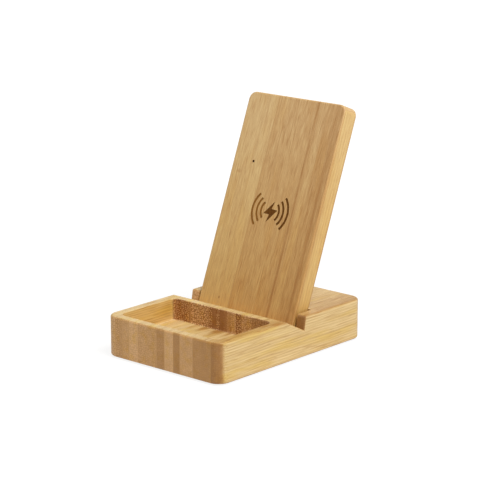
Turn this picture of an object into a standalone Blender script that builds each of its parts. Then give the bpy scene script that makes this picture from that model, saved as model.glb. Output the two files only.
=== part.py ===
"""Phone charging stand: a milled bamboo base with a tray, and a bamboo charging plate that lifts out.

Units are metres and +Z is up.  +X is the sitter's right, -Y is the tray end.
The base rests on four rubber feet at Z = 0, and the origin is under the middle of the whole stand.
Plate pieces are modelled in the plate's own frame: X across, Y up the plate, Z out of its front face.
"""

import math

import bmesh
import bpy
from mathutils import Matrix, Vector

# Base block
BASE_WIDTH = 0.0900
BASE_DEPTH = 0.1281
BASE_HEIGHT = 0.0245
BASE_CORNER_RADIUS = 0.0080
BASE_EDGE_RADIUS = 0.0014

# Tray milled into the front of the base
TRAY_SIDE_RIM = 0.0064
TRAY_FRONT_RIM = 0.0059
TRAY_REAR_RIM = 0.0050
TRAY_LENGTH = 0.0462
TRAY_DEPTH = 0.0132
TRAY_CORNER_RADIUS = 0.0042
TRAY_FLOOR_RADIUS = 0.0010
TRAY_LIP_RADIUS = 0.0007

# Groove across the base that the phone's lower edge stands in: a ramp down to a steep end-grain wall
RAMP_SLOPE = math.radians(27.0)
CREASE_RADIUS = 0.0025
GROOVE_WALL_SETBACK = 0.0010
GROOVE_WALL_LEAN = math.radians(10.0)
GROOVE_LIP_RADIUS = 0.0016
GROOVE_END_RADIUS = 0.0010

# Charging plate
PLATE_WIDTH = 0.0746
PLATE_THICKNESS = 0.0121
PLATE_RISE = 0.1255
PLATE_SEATED_LENGTH = 0.0145
PLATE_LEAN = math.radians(21.4)
PLATE_FACE_PLACE = 0.0094
PLATE_CORNER_RADIUS = 0.0050
PLATE_EDGE_RADIUS = 0.0011

# Clearances
SEAT_GAP = 0.0003
SLOT_SIDE_GAP = 0.0014
SLOT_FACE_GAP = 0.0004
SLOT_CORNER_RADIUS = 0.0004
CUT_OVERRUN = 0.0020

# Facets of the rounded stretches
CORNER_STEPS = 6
EDGE_STEPS = 3
ROUND_SIDES = 20
SMOOTH_ANGLE = math.radians(35.0)

# Rubber feet
FOOT_RADIUS = 0.0045
FOOT_THICKNESS = 0.0020
FOOT_PROUD = 0.0008
FOOT_INSET = 0.0130
FOOT_EDGE_RADIUS = 0.0004

# Bamboo shell of the plate, milled out from behind
SHELL_FRONT_WALL = 0.0026
SHELL_SIDE_WALL = 0.0062
SHELL_TOP_WALL = 0.0062
SHELL_FOOT_SOLID = 0.0220
SHELL_POCKET_RADIUS = 0.0030
REBATE_LEDGE = 0.0028
COVER_THICKNESS = 0.0030
COVER_EDGE_RADIUS = 0.0004

# Countersunk screws of the back cover, and the bosses they bite in
COVER_SCREW_HEAD_RADIUS = 0.0021
COVER_SCREW_SHANK_RADIUS = 0.0010
COVER_SCREW_CONE = 0.0011
COVER_SCREW_LENGTH = 0.0075
COVER_SCREW_SINK = 0.0001
COVER_BOSS_RADIUS = 0.0034
COVER_BOSS_INSET = 0.0027
CROSS_SLOT_LENGTH = 0.0022
CROSS_SLOT_WIDTH = 0.0006
CROSS_SLOT_DEPTH = 0.0006

# Induction coil, wound from one strand of stranded wire
COIL_WIRE_DIAMETER = 0.0009
COIL_OUTER_RADIUS = 0.0240
COIL_TURNS = 9
COIL_PITCH = 0.0014
COIL_LAYER_STEP = 0.00135
COIL_POINTS_PER_TURN = 24
COIL_TAIL_RADIUS = 0.0065
COIL_TAIL_LENGTH = 0.0032
COIL_LEAST_GAP = 0.0004
COIL_LEAD_IN_SHARES = (0.0, 0.15, 0.3, 0.45, 0.6, 0.75, 0.9)
COIL_LEAD_OUT_SHARES = (0.2, 0.4, 0.6, 0.8, 1.0)

# Sheets that hold the coil
TAPE_THICKNESS = 0.0003
SHIELD_MARGIN = 0.0012
SHIELD_THICKNESS = 0.0012
SHIELD_EYE_RADIUS = 0.0079
SHEET_SIDES = 40

# Circuit board above the coil
BOARD_MARGIN = 0.0005
BOARD_COIL_GAP = 0.0008
BOARD_BOSS_GAP = 0.00345
BOARD_THICKNESS = 0.0010
BOARD_DROP = 0.0063
BOARD_CORNER_RADIUS = 0.0015
BOARD_SCREW_ACROSS_SHARE = 0.88
BOARD_SCREW_ALONG_SHARE = 0.80
BOARD_SCREW_HEAD_RADIUS = 0.0017
BOARD_SCREW_HEAD_HEIGHT = 0.0009
BOARD_SCREW_SHANK_RADIUS = 0.0008
BOARD_SCREW_LENGTH = 0.0032
STANDOFF_RADIUS = 0.0024

# Status light
LED_ACROSS = 0.0214
LED_EDGE_PLACE = 0.00195
LED_SIZE = (0.0016, 0.0008, 0.0007)
GUIDE_RADIUS = 0.0004
GUIDE_FLANGE_RADIUS = 0.0016
GUIDE_FLANGE_THICKNESS = 0.0006
GUIDE_SIDES = 16

# Power inlet in the plate's left edge
INLET_RECESS_LENGTH = 0.0132
INLET_RECESS_HEIGHT = 0.0074
INLET_RECESS_DEPTH = 0.0043
INLET_RECESS_RADIUS = 0.0030
RECEPTACLE_LENGTH = 0.0089
RECEPTACLE_HEIGHT = 0.0032
RECEPTACLE_DEPTH = 0.0073
RECEPTACLE_WALL = 0.0003
RECEPTACLE_RADIUS = 0.0015
RECEPTACLE_CORE_DEPTH = 0.0014
TONGUE_LENGTH = 0.0067
TONGUE_THICKNESS = 0.0007
TONGUE_REACH_SHARE = 0.90
RECEPTACLE_FIT_GAP = 0.0001

# Parts soldered to the board: size as across, along, height; place as shares of the board's half sizes
CONTROLLER_SIZE = (0.0050, 0.0050, 0.0009)
CONTROLLER_PLACE_SHARES = (0.02, 0.10)
BRIDGE_SIZE = (0.0034, 0.0034, 0.0009)
BRIDGE_PLACE_SHARES = {
    "bridge_chip_upper": (0.36, 0.48),
    "bridge_chip_lower": (0.36, -0.24),
}
INDUCTOR_SIZE = (0.0052, 0.0052, 0.0024)
INDUCTOR_PLACE_SHARES = (-0.36, 0.42)
INPUT_CAPACITOR_SIZE = (0.0032, 0.0016, 0.0014)
INPUT_CAPACITOR_PLACE_SHARES = {
    "input_capacitor_upper": (-0.66, 0.12),
    "input_capacitor_lower": (-0.66, -0.20),
}
RESONANT_CAPACITOR_SIZE = (0.0032, 0.0025, 0.0018)
RESONANT_CAPACITOR_COUNT = 4
RESONANT_CAPACITOR_ACROSS_SHARE = 0.62
RESONANT_CAPACITOR_SPREAD_SHARE = 0.62
CHIP_EDGE_RADIUS = 0.00015

# Places worked out from the sizes above
BASE_TOP = FOOT_PROUD + BASE_HEIGHT
PLATE_LENGTH = PLATE_RISE + PLATE_SEATED_LENGTH
CREASE_PLACE = TRAY_FRONT_RIM + TRAY_LENGTH + TRAY_REAR_RIM - BASE_DEPTH / 2
PLATE_FOOT = Vector((
    0.0,
    PLATE_FACE_PLACE - PLATE_SEATED_LENGTH * math.sin(PLATE_LEAN),
    BASE_TOP - PLATE_SEATED_LENGTH * math.cos(PLATE_LEAN),
))
PLATE_BACK_REACH = (
    PLATE_FOOT.y
    + (PLATE_LENGTH - PLATE_EDGE_RADIUS) * math.sin(PLATE_LEAN)
    + (PLATE_THICKNESS - PLATE_EDGE_RADIUS) * math.cos(PLATE_LEAN)
    + PLATE_EDGE_RADIUS
)
STAND_SHIFT = (BASE_DEPTH / 2 - max(PLATE_BACK_REACH, BASE_DEPTH / 2)) / 2
ACROSS_TURN = (math.pi / 2, 0.0, math.pi / 2)
COVER_INNER_FACE = -(PLATE_THICKNESS - COVER_THICKNESS)
LEDGE_FACE = COVER_INNER_FACE + SEAT_GAP
POCKET_WIDTH = PLATE_WIDTH - 2 * SHELL_SIDE_WALL
POCKET_TOP = PLATE_LENGTH - SHELL_TOP_WALL
POCKET_LENGTH = POCKET_TOP - SHELL_FOOT_SOLID
POCKET_MIDDLE = SHELL_FOOT_SOLID + POCKET_LENGTH / 2
COIL_MIDDLE = PLATE_LENGTH / 2
WIRE_RADIUS = COIL_WIRE_DIAMETER / 2
COIL_LEVEL = -(SHELL_FRONT_WALL + SEAT_GAP + TAPE_THICKNESS + SEAT_GAP + WIRE_RADIUS)
SHIELD_RADIUS = COIL_OUTER_RADIUS + SHIELD_MARGIN
SHIELD_FRONT = COIL_LEVEL - WIRE_RADIUS - SEAT_GAP
FOAM_FRONT = SHIELD_FRONT - SHIELD_THICKNESS - SEAT_GAP
BOARD_FRONT = -BOARD_DROP
BOARD_LOW = COIL_MIDDLE + SHIELD_RADIUS + BOARD_COIL_GAP
BOARD_LENGTH = POCKET_TOP - COVER_BOSS_INSET - COVER_BOSS_RADIUS - BOARD_BOSS_GAP - BOARD_LOW
BOARD_MIDDLE = BOARD_LOW + BOARD_LENGTH / 2
BOARD_WIDTH = POCKET_WIDTH - 2 * BOARD_MARGIN
LED_PLACE = (-LED_ACROSS, BOARD_LOW + LED_EDGE_PLACE)
RECEPTACLE_LEVEL = -PLATE_THICKNESS / 2
RECEPTACLE_MOUTH = -PLATE_WIDTH / 2 + INLET_RECESS_DEPTH + SEAT_GAP


def clear_scene():
    """Remove every object of the open scene."""
    for item in list(bpy.data.objects):
        bpy.data.objects.remove(item, do_unlink=True)


def make_material(name, colour, roughness, metallic=0.0):
    """A Principled material of one colour."""
    material = bpy.data.materials.new(name)
    material.use_nodes = True
    shader = material.node_tree.nodes["Principled BSDF"]
    shader.inputs["Base Color"].default_value = (*colour, 1.0)
    shader.inputs["Roughness"].default_value = roughness
    shader.inputs["Metallic"].default_value = metallic
    material.diffuse_color = (*colour, 1.0)
    return material


def make_frame(name, location, tilt=0.0):
    """An empty that carries the pieces of one body."""
    frame = bpy.data.objects.new(name, None)
    frame.location = location
    frame.rotation_euler = (tilt, 0.0, 0.0)
    bpy.context.scene.collection.objects.link(frame)
    return frame


def make_object(name, mesh, parent, material=None, location=(0.0, 0.0, 0.0), turn=(0.0, 0.0, 0.0)):
    """Link a mesh as one object of a body, shaded smooth between its sharp edges."""
    mesh.shade_smooth()
    mesh.set_sharp_from_angle(angle=SMOOTH_ANGLE)
    item = bpy.data.objects.new(name, mesh)
    item.location = location
    item.rotation_euler = turn
    item.parent = parent
    if material is not None:
        mesh.materials.append(material)
    bpy.context.scene.collection.objects.link(item)
    return item


def make_cutter(name, bodies, frame, location=(0.0, 0.0, 0.0), turn=(0.0, 0.0, 0.0)):
    """A lofted object that only shapes others."""
    item = make_object(name, loft(bodies, name), frame, location=location, turn=turn)
    item.hide_render = True
    item.display_type = "WIRE"
    return item


def combine(target, tool, operation):
    """Cut the tool out of the target, or join it on."""
    modifier = target.modifiers.new(f"{operation.lower()} {tool.name}", "BOOLEAN")
    modifier.operation = operation
    modifier.solver = "EXACT"
    modifier.object = tool


def loft(bodies, name):
    """Mesh of closed solids, each skinned over rings of points that run anticlockwise from low to high."""
    shape = bmesh.new()
    for rings in bodies:
        rows = [[shape.verts.new(point) for point in ring] for ring in rings]
        count = len(rows[0])
        shape.faces.new(reversed(rows[0]))
        shape.faces.new(rows[-1])
        for low, high in zip(rows, rows[1:]):
            for k in range(count):
                after = (k + 1) % count
                shape.faces.new((low[k], low[after], high[after], high[k]))
    shape.normal_update()
    mesh = bpy.data.meshes.new(name)
    shape.to_mesh(mesh)
    shape.free()
    return mesh


def rectangle_ring(width, length, radius, height, centre=(0.0, 0.0)):
    """A rounded rectangle at one height."""
    points = []
    for quarter, (side, end) in enumerate(((1, 1), (-1, 1), (-1, -1), (1, -1))):
        corner = (
            centre[0] + side * (width / 2 - radius),
            centre[1] + end * (length / 2 - radius),
        )
        for step in range(CORNER_STEPS + 1):
            angle = (quarter + step / CORNER_STEPS) * math.pi / 2
            across, along = radius * math.cos(angle), radius * math.sin(angle)
            points.append((corner[0] + across, corner[1] + along, height))
    return points


def rectangle_body(width, length, radius, profile, centre=(0.0, 0.0)):
    """Rings of a rounded rectangle that a profile of (offset, height) carries upwards."""
    return [
        rectangle_ring(width + 2 * offset, length + 2 * offset, radius + offset, height, centre)
        for offset, height in profile
    ]


def round_body(profile, centre=(0.0, 0.0), sides=ROUND_SIDES):
    """Rings of a turned piece, from a profile of (radius, height)."""
    turns = [2 * math.pi * k / sides for k in range(sides)]
    return [
        [(centre[0] + radius * math.cos(a), centre[1] + radius * math.sin(a), height) for a in turns]
        for radius, height in profile
    ]


def edged_profile(low, high, low_radius=0.0, high_radius=0.0):
    """Upright wall from low to high whose two edges are rounded inwards."""
    quarter = [math.pi / 2 * k / EDGE_STEPS for k in range(EDGE_STEPS + 1)]
    start = [(low_radius * (math.sin(a) - 1), low + low_radius * (1 - math.cos(a))) for a in quarter]
    end = [(high_radius * (math.cos(a) - 1), high - high_radius * (1 - math.sin(a))) for a in quarter]
    return (start if low_radius else [(0.0, low)]) + (end if high_radius else [(0.0, high)])


def pocket_profile(floor, top, floor_radius, lip_radius):
    """Wall of a milled pocket: rounded at its floor, flared at its lip, and carried past the top."""
    quarter = [math.pi / 2 * k / EDGE_STEPS for k in range(EDGE_STEPS + 1)]
    start = [(floor_radius * (math.sin(a) - 1), floor + floor_radius * (1 - math.cos(a))) for a in quarter]
    flare = [(lip_radius * (1 - math.cos(a)), top - lip_radius * (1 - math.sin(a))) for a in quarter]
    return start + flare + [carried_past(flare[-2], flare[-1])]


def carried_past(before, last):
    """The point as far past the last one as the last is from the one before it."""
    return tuple(2 * end - start for start, end in zip(before, last))


def rounded_corner(before, corner, after, radius):
    """Arc that rounds one corner of an outline, from the side that comes in to the side that goes out."""
    corner = Vector(corner)
    sides = [(Vector(end) - corner).normalized() for end in (before, after)]
    half_angle = sides[0].angle(sides[1]) / 2
    centre = corner + (sides[0] + sides[1]).normalized() * radius / math.sin(half_angle)
    first, last = [corner + side * radius / math.tan(half_angle) - centre for side in sides]
    spokes = [first.slerp(last, k / EDGE_STEPS).normalized() for k in range(EDGE_STEPS + 1)]
    return [tuple(centre + radius * spoke) for spoke in spokes]


def flared_body(outline, profile):
    """Rings of an outline, moved out square to its sides by the offset of each (offset, height)."""
    points = [Vector(point) for point in outline]
    steps = [(after - point).normalized() for point, after in zip(points, points[1:] + points[:1])]
    square = [Vector((step.y, -step.x)) for step in steps]
    outward = [(old + new) / (1 + old.dot(new)) for old, new in zip(square[-1:] + square[:-1], square)]
    return [
        [(*(point + offset * out), height) for point, out in zip(points, outward)]
        for offset, height in profile
    ]


def corners(across, along, middle=0.0):
    """The four places at plus and minus a distance, about a middle."""
    return [(x, middle + y) for x in (-across, across) for y in (-along, along)]


def groove_body():
    """Side profile of the phone groove, carried across the base and rounded out at both ends."""
    crease = (CREASE_PLACE, BASE_TOP)
    wall_top = (PLATE_FACE_PLACE + GROOVE_WALL_SETBACK, BASE_TOP)
    depth = (wall_top[0] - crease[0]) / (1 / math.tan(RAMP_SLOPE) + math.tan(GROOVE_WALL_LEAN))
    bottom = (CREASE_PLACE + depth / math.tan(RAMP_SLOPE), BASE_TOP - depth)
    front = rounded_corner((-BASE_DEPTH / 2, BASE_TOP), crease, bottom, CREASE_RADIUS)
    rear = rounded_corner(bottom, wall_top, (BASE_DEPTH / 2, BASE_TOP), GROOVE_LIP_RADIUS)
    front.insert(0, carried_past(front[1], front[0]))
    rear.append(carried_past(rear[-2], rear[-1]))
    above = [(rear[-1][0], BASE_TOP + CUT_OVERRUN), (front[0][0], BASE_TOP + CUT_OVERRUN)]
    half = pocket_profile(0.0, BASE_WIDTH / 2, 0.0, GROOVE_END_RADIUS)[EDGE_STEPS + 1:]
    across = [(offset, -height) for offset, height in reversed(half)] + half
    return flared_body(front + [bottom] + rear + above, across)


def build_base(frame, bamboo, rubber):
    """The one-piece base with its tray, groove and plate slot, and the four feet under it."""
    profile = edged_profile(FOOT_PROUD, BASE_TOP, BASE_EDGE_RADIUS, BASE_EDGE_RADIUS)
    block = rectangle_body(BASE_WIDTH, BASE_DEPTH, BASE_CORNER_RADIUS, profile)
    base = make_object("base_block", loft([block], "base_block"), frame, bamboo)
    groove = make_cutter("groove_cutter", [groove_body()], frame, turn=ACROSS_TURN)
    combine(base, groove, "DIFFERENCE")

    tray_width = BASE_WIDTH - 2 * TRAY_SIDE_RIM
    tray_middle = CREASE_PLACE - TRAY_REAR_RIM - TRAY_LENGTH / 2
    tray_profile = pocket_profile(BASE_TOP - TRAY_DEPTH, BASE_TOP, TRAY_FLOOR_RADIUS, TRAY_LIP_RADIUS)
    tray = rectangle_body(tray_width, TRAY_LENGTH, TRAY_CORNER_RADIUS, tray_profile, (0.0, tray_middle))
    combine(base, make_cutter("tray_cutter", [tray], frame), "DIFFERENCE")

    slot_end = PLATE_SEATED_LENGTH + PLATE_THICKNESS * math.tan(PLATE_LEAN) + CUT_OVERRUN
    slot = rectangle_body(
        PLATE_WIDTH + 2 * SLOT_SIDE_GAP, PLATE_THICKNESS + 2 * SLOT_FACE_GAP, SLOT_CORNER_RADIUS,
        [(0.0, -SEAT_GAP), (0.0, slot_end)],
    )
    slot_foot = PLATE_FOOT + plate_turn() @ Vector((0.0, 0.0, -PLATE_THICKNESS / 2))
    combine(base, make_cutter("slot_cutter", [slot], frame, slot_foot, (-PLATE_LEAN, 0.0, 0.0)), "DIFFERENCE")

    foot_profile = edged_profile(0.0, FOOT_THICKNESS, FOOT_EDGE_RADIUS, 0.0)
    recess_top = FOOT_THICKNESS + SEAT_GAP
    places = corners(BASE_WIDTH / 2 - FOOT_INSET, BASE_DEPTH / 2 - FOOT_INSET)
    recesses = [
        round_body([(FOOT_RADIUS + SEAT_GAP, -CUT_OVERRUN), (FOOT_RADIUS + SEAT_GAP, recess_top)], place)
        for place in places
    ]
    combine(base, make_cutter("foot_cutter", recesses, frame), "DIFFERENCE")
    rings = round_body([(FOOT_RADIUS + offset, height) for offset, height in foot_profile])
    for place, side in zip(places, ("left_front", "left_rear", "right_front", "right_rear")):
        make_object(f"foot_{side}", loft([rings], "foot"), frame, rubber, (*place, 0.0))


def plate_turn():
    """Rotation from the plate's own axes to the stand's."""
    return Matrix.Rotation(math.pi / 2 - PLATE_LEAN, 3, "X")


def build_shell(frame, bamboo):
    """Bamboo front and sides of the plate, one piece milled out from behind."""
    profile = edged_profile(-PLATE_THICKNESS, 0.0, PLATE_EDGE_RADIUS, PLATE_EDGE_RADIUS)
    blank = rectangle_body(PLATE_WIDTH, PLATE_LENGTH, PLATE_CORNER_RADIUS, profile, (0.0, PLATE_LENGTH / 2))
    shell = make_object("plate_shell", loft([blank], "plate_shell"), frame, bamboo)

    floor = -SHELL_FRONT_WALL
    pocket = rectangle_body(
        POCKET_WIDTH, POCKET_LENGTH, SHELL_POCKET_RADIUS,
        [(0.0, -PLATE_THICKNESS - CUT_OVERRUN), (0.0, floor)], (0.0, POCKET_MIDDLE),
    )
    combine(shell, make_cutter("pocket_cutter", [pocket], frame), "DIFFERENCE")
    rebate = rectangle_body(
        POCKET_WIDTH + 2 * REBATE_LEDGE, POCKET_LENGTH + 2 * REBATE_LEDGE, SHELL_POCKET_RADIUS + REBATE_LEDGE,
        [(0.0, -PLATE_THICKNESS - CUT_OVERRUN), (0.0, LEDGE_FACE)], (0.0, POCKET_MIDDLE),
    )
    combine(shell, make_cutter("rebate_cutter", [rebate], frame), "DIFFERENCE")

    sunk = floor + SHELL_FRONT_WALL / 2
    bosses = [round_body([(COVER_BOSS_RADIUS, LEDGE_FACE), (COVER_BOSS_RADIUS, sunk)], place)
              for place in cover_screw_places()]
    bosses += [round_body([(STANDOFF_RADIUS, BOARD_FRONT + SEAT_GAP), (STANDOFF_RADIUS, sunk)], place)
               for place in board_screw_places()]
    combine(shell, make_cutter("boss_tool", bosses, frame), "UNION")

    cover_hole = COVER_SCREW_SHANK_RADIUS + SEAT_GAP
    cover_hole_end = -PLATE_THICKNESS + COVER_SCREW_SINK + COVER_SCREW_LENGTH + SEAT_GAP
    board_hole = BOARD_SCREW_SHANK_RADIUS + SEAT_GAP
    board_hole_end = BOARD_FRONT - BOARD_THICKNESS + BOARD_SCREW_LENGTH
    holes = [round_body([(cover_hole, LEDGE_FACE - CUT_OVERRUN), (cover_hole, cover_hole_end)], place)
             for place in cover_screw_places()]
    holes += [round_body([(board_hole, BOARD_FRONT - CUT_OVERRUN), (board_hole, board_hole_end)], place)
              for place in board_screw_places()]
    holes.append(round_body(
        [(GUIDE_RADIUS + SEAT_GAP, floor - CUT_OVERRUN), (GUIDE_RADIUS + SEAT_GAP, CUT_OVERRUN)],
        LED_PLACE, GUIDE_SIDES,
    ))
    combine(shell, make_cutter("hole_cutter", holes, frame), "DIFFERENCE")

    recess = rectangle_body(
        INLET_RECESS_HEIGHT, INLET_RECESS_LENGTH, INLET_RECESS_RADIUS,
        [(0.0, -INLET_RECESS_DEPTH), (0.0, CUT_OVERRUN)],
    )
    port = rectangle_body(
        RECEPTACLE_HEIGHT + 2 * SEAT_GAP, RECEPTACLE_LENGTH + 2 * SEAT_GAP, RECEPTACLE_RADIUS + SEAT_GAP,
        [(0.0, -SHELL_SIDE_WALL - CUT_OVERRUN), (0.0, -INLET_RECESS_DEPTH + CUT_OVERRUN)],
    )
    inlet = (-PLATE_WIDTH / 2, BOARD_MIDDLE, RECEPTACLE_LEVEL)
    for name, rings in (("recess_cutter", recess), ("port_cutter", port)):
        combine(shell, make_cutter(name, [rings], frame, inlet, (0.0, -math.pi / 2, 0.0)), "DIFFERENCE")


def cover_screw_places():
    """Where the back cover's screws go, one in each corner of the pocket."""
    return corners(POCKET_WIDTH / 2 - COVER_BOSS_INSET, POCKET_LENGTH / 2 - COVER_BOSS_INSET, POCKET_MIDDLE)


def board_screw_places():
    """Where the board's screws go."""
    return corners(
        BOARD_SCREW_ACROSS_SHARE * BOARD_WIDTH / 2, BOARD_SCREW_ALONG_SHARE * BOARD_LENGTH / 2, BOARD_MIDDLE,
    )


def build_cover(frame, bamboo, steel):
    """Bamboo back let into the shell's rebate, and its four countersunk screws."""
    profile = edged_profile(-PLATE_THICKNESS, COVER_INNER_FACE, COVER_EDGE_RADIUS, 0.0)
    margin = 2 * (REBATE_LEDGE - SEAT_GAP)
    rings = rectangle_body(
        POCKET_WIDTH + margin, POCKET_LENGTH + margin, SHELL_POCKET_RADIUS + margin / 2,
        profile, (0.0, POCKET_MIDDLE),
    )
    cover = make_object("back_cover", loft([rings], "back_cover"), frame, bamboo)

    head_low = -PLATE_THICKNESS + COVER_SCREW_SINK
    cone = [
        (COVER_SCREW_HEAD_RADIUS, head_low),
        (COVER_SCREW_SHANK_RADIUS, head_low + COVER_SCREW_CONE),
        (COVER_SCREW_SHANK_RADIUS, head_low + COVER_SCREW_LENGTH),
    ]
    seat = [(radius + SEAT_GAP, height) for radius, height in cone]
    seat[0] = (seat[0][0], head_low - CUT_OVERRUN)
    seat.insert(1, (seat[0][0], head_low))
    places = cover_screw_places()
    seats = [round_body(seat, place) for place in places]
    combine(cover, make_cutter("seat_cutter", seats, frame), "DIFFERENCE")

    for number, place in enumerate(places, start=1):
        screw = make_object(f"cover_screw_{number}", loft([round_body(cone)], "cover_screw"), frame, steel,
                            (*place, 0.0))
        cutter = make_cutter(f"cross_cutter_{number}", [cross_body(head_low)], frame, (*place, 0.0))
        combine(screw, cutter, "DIFFERENCE")


def cross_body(level):
    """Plus-shaped cutter of a screw's recess, from below its head up to the recess's floor."""
    arm, waist = CROSS_SLOT_LENGTH / 2, CROSS_SLOT_WIDTH / 2
    quarter = [(arm, -waist), (arm, waist), (waist, waist)]
    points = []
    for turn in range(4):
        cosine, sine = round(math.cos(turn * math.pi / 2)), round(math.sin(turn * math.pi / 2))
        points += [(x * cosine - y * sine, x * sine + y * cosine) for x, y in quarter]
    return [[(x, y, height) for x, y in points] for height in (level - CUT_OVERRUN, level + CROSS_SLOT_DEPTH)]


def coil_path():
    """Centre line of the coil: in from the board, clockwise inwards, then under the turns and back out."""
    pad = BOARD_LOW - COIL_MIDDLE + COIL_TAIL_LENGTH
    pad_level = BOARD_FRONT + SEAT_GAP + WIRE_RADIUS
    outer = COIL_OUTER_RADIUS - WIRE_RADIUS
    inner = outer - COIL_TURNS * COIL_PITCH
    under = COIL_LEVEL - COIL_LAYER_STEP
    step = 2 * math.pi / COIL_POINTS_PER_TURN

    lead_in = [
        Vector((outer, pad * (1 - share), pad_level + (COIL_LEVEL - pad_level) * ease(share)))
        for share in COIL_LEAD_IN_SHARES
    ]
    turns = []
    for k in range(COIL_TURNS * COIL_POINTS_PER_TURN + 1):
        radius = outer - COIL_PITCH * k / COIL_POINTS_PER_TURN
        turns.append(Vector((radius * math.cos(k * step), -radius * math.sin(k * step), COIL_LEVEL)))
    half = COIL_POINTS_PER_TURN // 2
    tail = []
    for k in range(1, half + 1):
        share = k / half
        radius = inner + (COIL_TAIL_RADIUS - inner) * ease(min(1.0, 2 * share))
        level = COIL_LEVEL + (under - COIL_LEVEL) * ease(max(0.0, 2 * share - 1))
        tail.append(Vector((radius * math.cos(k * step), -radius * math.sin(k * step), level)))
    lead_out = [
        Vector((-COIL_TAIL_RADIUS, pad * share, under + (pad_level - under) * ease(share)))
        for share in COIL_LEAD_OUT_SHARES
    ]
    return [point + Vector((0.0, COIL_MIDDLE, 0.0)) for point in lead_in + turns + tail + lead_out]


def ease(share):
    """Smooth step from 0 to 1."""
    return share * share * (3 - 2 * share)


def least_gap(points):
    """Least clearance of a tube to its own other turns, read on the points of its centre line."""
    apart = COIL_POINTS_PER_TURN // 2
    distances = [
        (points[i] - points[j]).length
        for i in range(len(points)) for j in range(i + apart, len(points))
    ]
    return min(distances) - COIL_WIRE_DIAMETER


def build_coil(frame, copper, tape, ferrite, foam):
    """The flat winding, with the tape in front of it and the shield and foam behind it."""
    points = coil_path()
    gap = least_gap(points)
    print(f"coil: least gap between turns {gap * 1000:.2f} mm, wanted over {COIL_LEAST_GAP * 1000:.2f} mm")
    curve = bpy.data.curves.new("coil_winding", "CURVE")
    curve.dimensions = "3D"
    curve.bevel_depth = WIRE_RADIUS
    curve.bevel_resolution = 1
    curve.use_fill_caps = True
    spline = curve.splines.new("POLY")
    spline.points.add(len(points) - 1)
    for spot, point in zip(spline.points, points):
        spot.co = (*point, 1.0)
    winding = bpy.data.objects.new("coil_winding", curve)
    winding.parent = frame
    curve.materials.append(copper)
    bpy.context.scene.collection.objects.link(winding)

    middle = (0.0, COIL_MIDDLE)
    tape_front = -SHELL_FRONT_WALL - SEAT_GAP
    rings = round_body(
        [(COIL_OUTER_RADIUS, tape_front - TAPE_THICKNESS), (COIL_OUTER_RADIUS, tape_front)],
        middle, SHEET_SIDES,
    )
    make_object("coil_tape", loft([rings], "coil_tape"), frame, tape)

    shield_back = SHIELD_FRONT - SHIELD_THICKNESS
    rings = round_body([(SHIELD_RADIUS, shield_back), (SHIELD_RADIUS, SHIELD_FRONT)], middle, SHEET_SIDES)
    shield = make_object("ferrite_shield", loft([rings], "ferrite_shield"), frame, ferrite)
    eye = round_body(
        [(SHIELD_EYE_RADIUS, shield_back - CUT_OVERRUN), (SHIELD_EYE_RADIUS, SHIELD_FRONT + CUT_OVERRUN)],
        middle, SHEET_SIDES,
    )
    lane_width = COIL_WIRE_DIAMETER + 2 * COIL_LEAST_GAP
    lane_length = SHIELD_RADIUS + CUT_OVERRUN
    lane = [
        [(x * lane_width / 2 - COIL_TAIL_RADIUS, COIL_MIDDLE + y * lane_length, height)
         for x, y in ((1, 1), (-1, 1), (-1, 0), (1, 0))]
        for height in (shield_back - CUT_OVERRUN, SHIELD_FRONT + CUT_OVERRUN)
    ]
    for name, body in (("eye_cutter", eye), ("lane_cutter", lane)):
        combine(shield, make_cutter(name, [body], frame), "DIFFERENCE")

    foam_back = COVER_INNER_FACE + SEAT_GAP
    rings = round_body([(COIL_OUTER_RADIUS, foam_back), (COIL_OUTER_RADIUS, FOAM_FRONT)], middle, SHEET_SIDES)
    make_object("foam_pad", loft([rings], "foam_pad"), frame, foam)


def build_board(frame, laminate, steel):
    """Circuit board with a notch for the receptacle, and the four screws that hold it."""
    back = BOARD_FRONT - BOARD_THICKNESS
    rings = rectangle_body(BOARD_WIDTH, BOARD_LENGTH, BOARD_CORNER_RADIUS, [(0.0, back), (0.0, BOARD_FRONT)],
                           (0.0, BOARD_MIDDLE))
    board = make_object("circuit_board", loft([rings], "circuit_board"), frame, laminate)
    hole = BOARD_SCREW_SHANK_RADIUS + SEAT_GAP
    holes = [round_body([(hole, back - CUT_OVERRUN), (hole, BOARD_FRONT + CUT_OVERRUN)], place)
             for place in board_screw_places()]
    notch_end = RECEPTACLE_MOUTH + RECEPTACLE_DEPTH + SEAT_GAP
    notch_start = -BOARD_WIDTH / 2 - CUT_OVERRUN
    notch_half = RECEPTACLE_LENGTH / 2 + SEAT_GAP
    notch = [
        [(x, BOARD_MIDDLE + y * notch_half, height)
         for x, y in ((notch_end, 1), (notch_start, 1), (notch_start, -1), (notch_end, -1))]
        for height in (back - CUT_OVERRUN, BOARD_FRONT + CUT_OVERRUN)
    ]
    combine(board, make_cutter("board_cutter", holes + [notch], frame), "DIFFERENCE")

    head_top = back - SEAT_GAP
    screw = round_body([
        (BOARD_SCREW_HEAD_RADIUS, head_top - BOARD_SCREW_HEAD_HEIGHT),
        (BOARD_SCREW_HEAD_RADIUS, head_top),
        (BOARD_SCREW_SHANK_RADIUS, head_top),
        (BOARD_SCREW_SHANK_RADIUS, head_top + BOARD_SCREW_LENGTH),
    ])
    for number, place in enumerate(board_screw_places(), start=1):
        make_object(f"board_screw_{number}", loft([screw], "board_screw"), frame, steel, (*place, 0.0))


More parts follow.
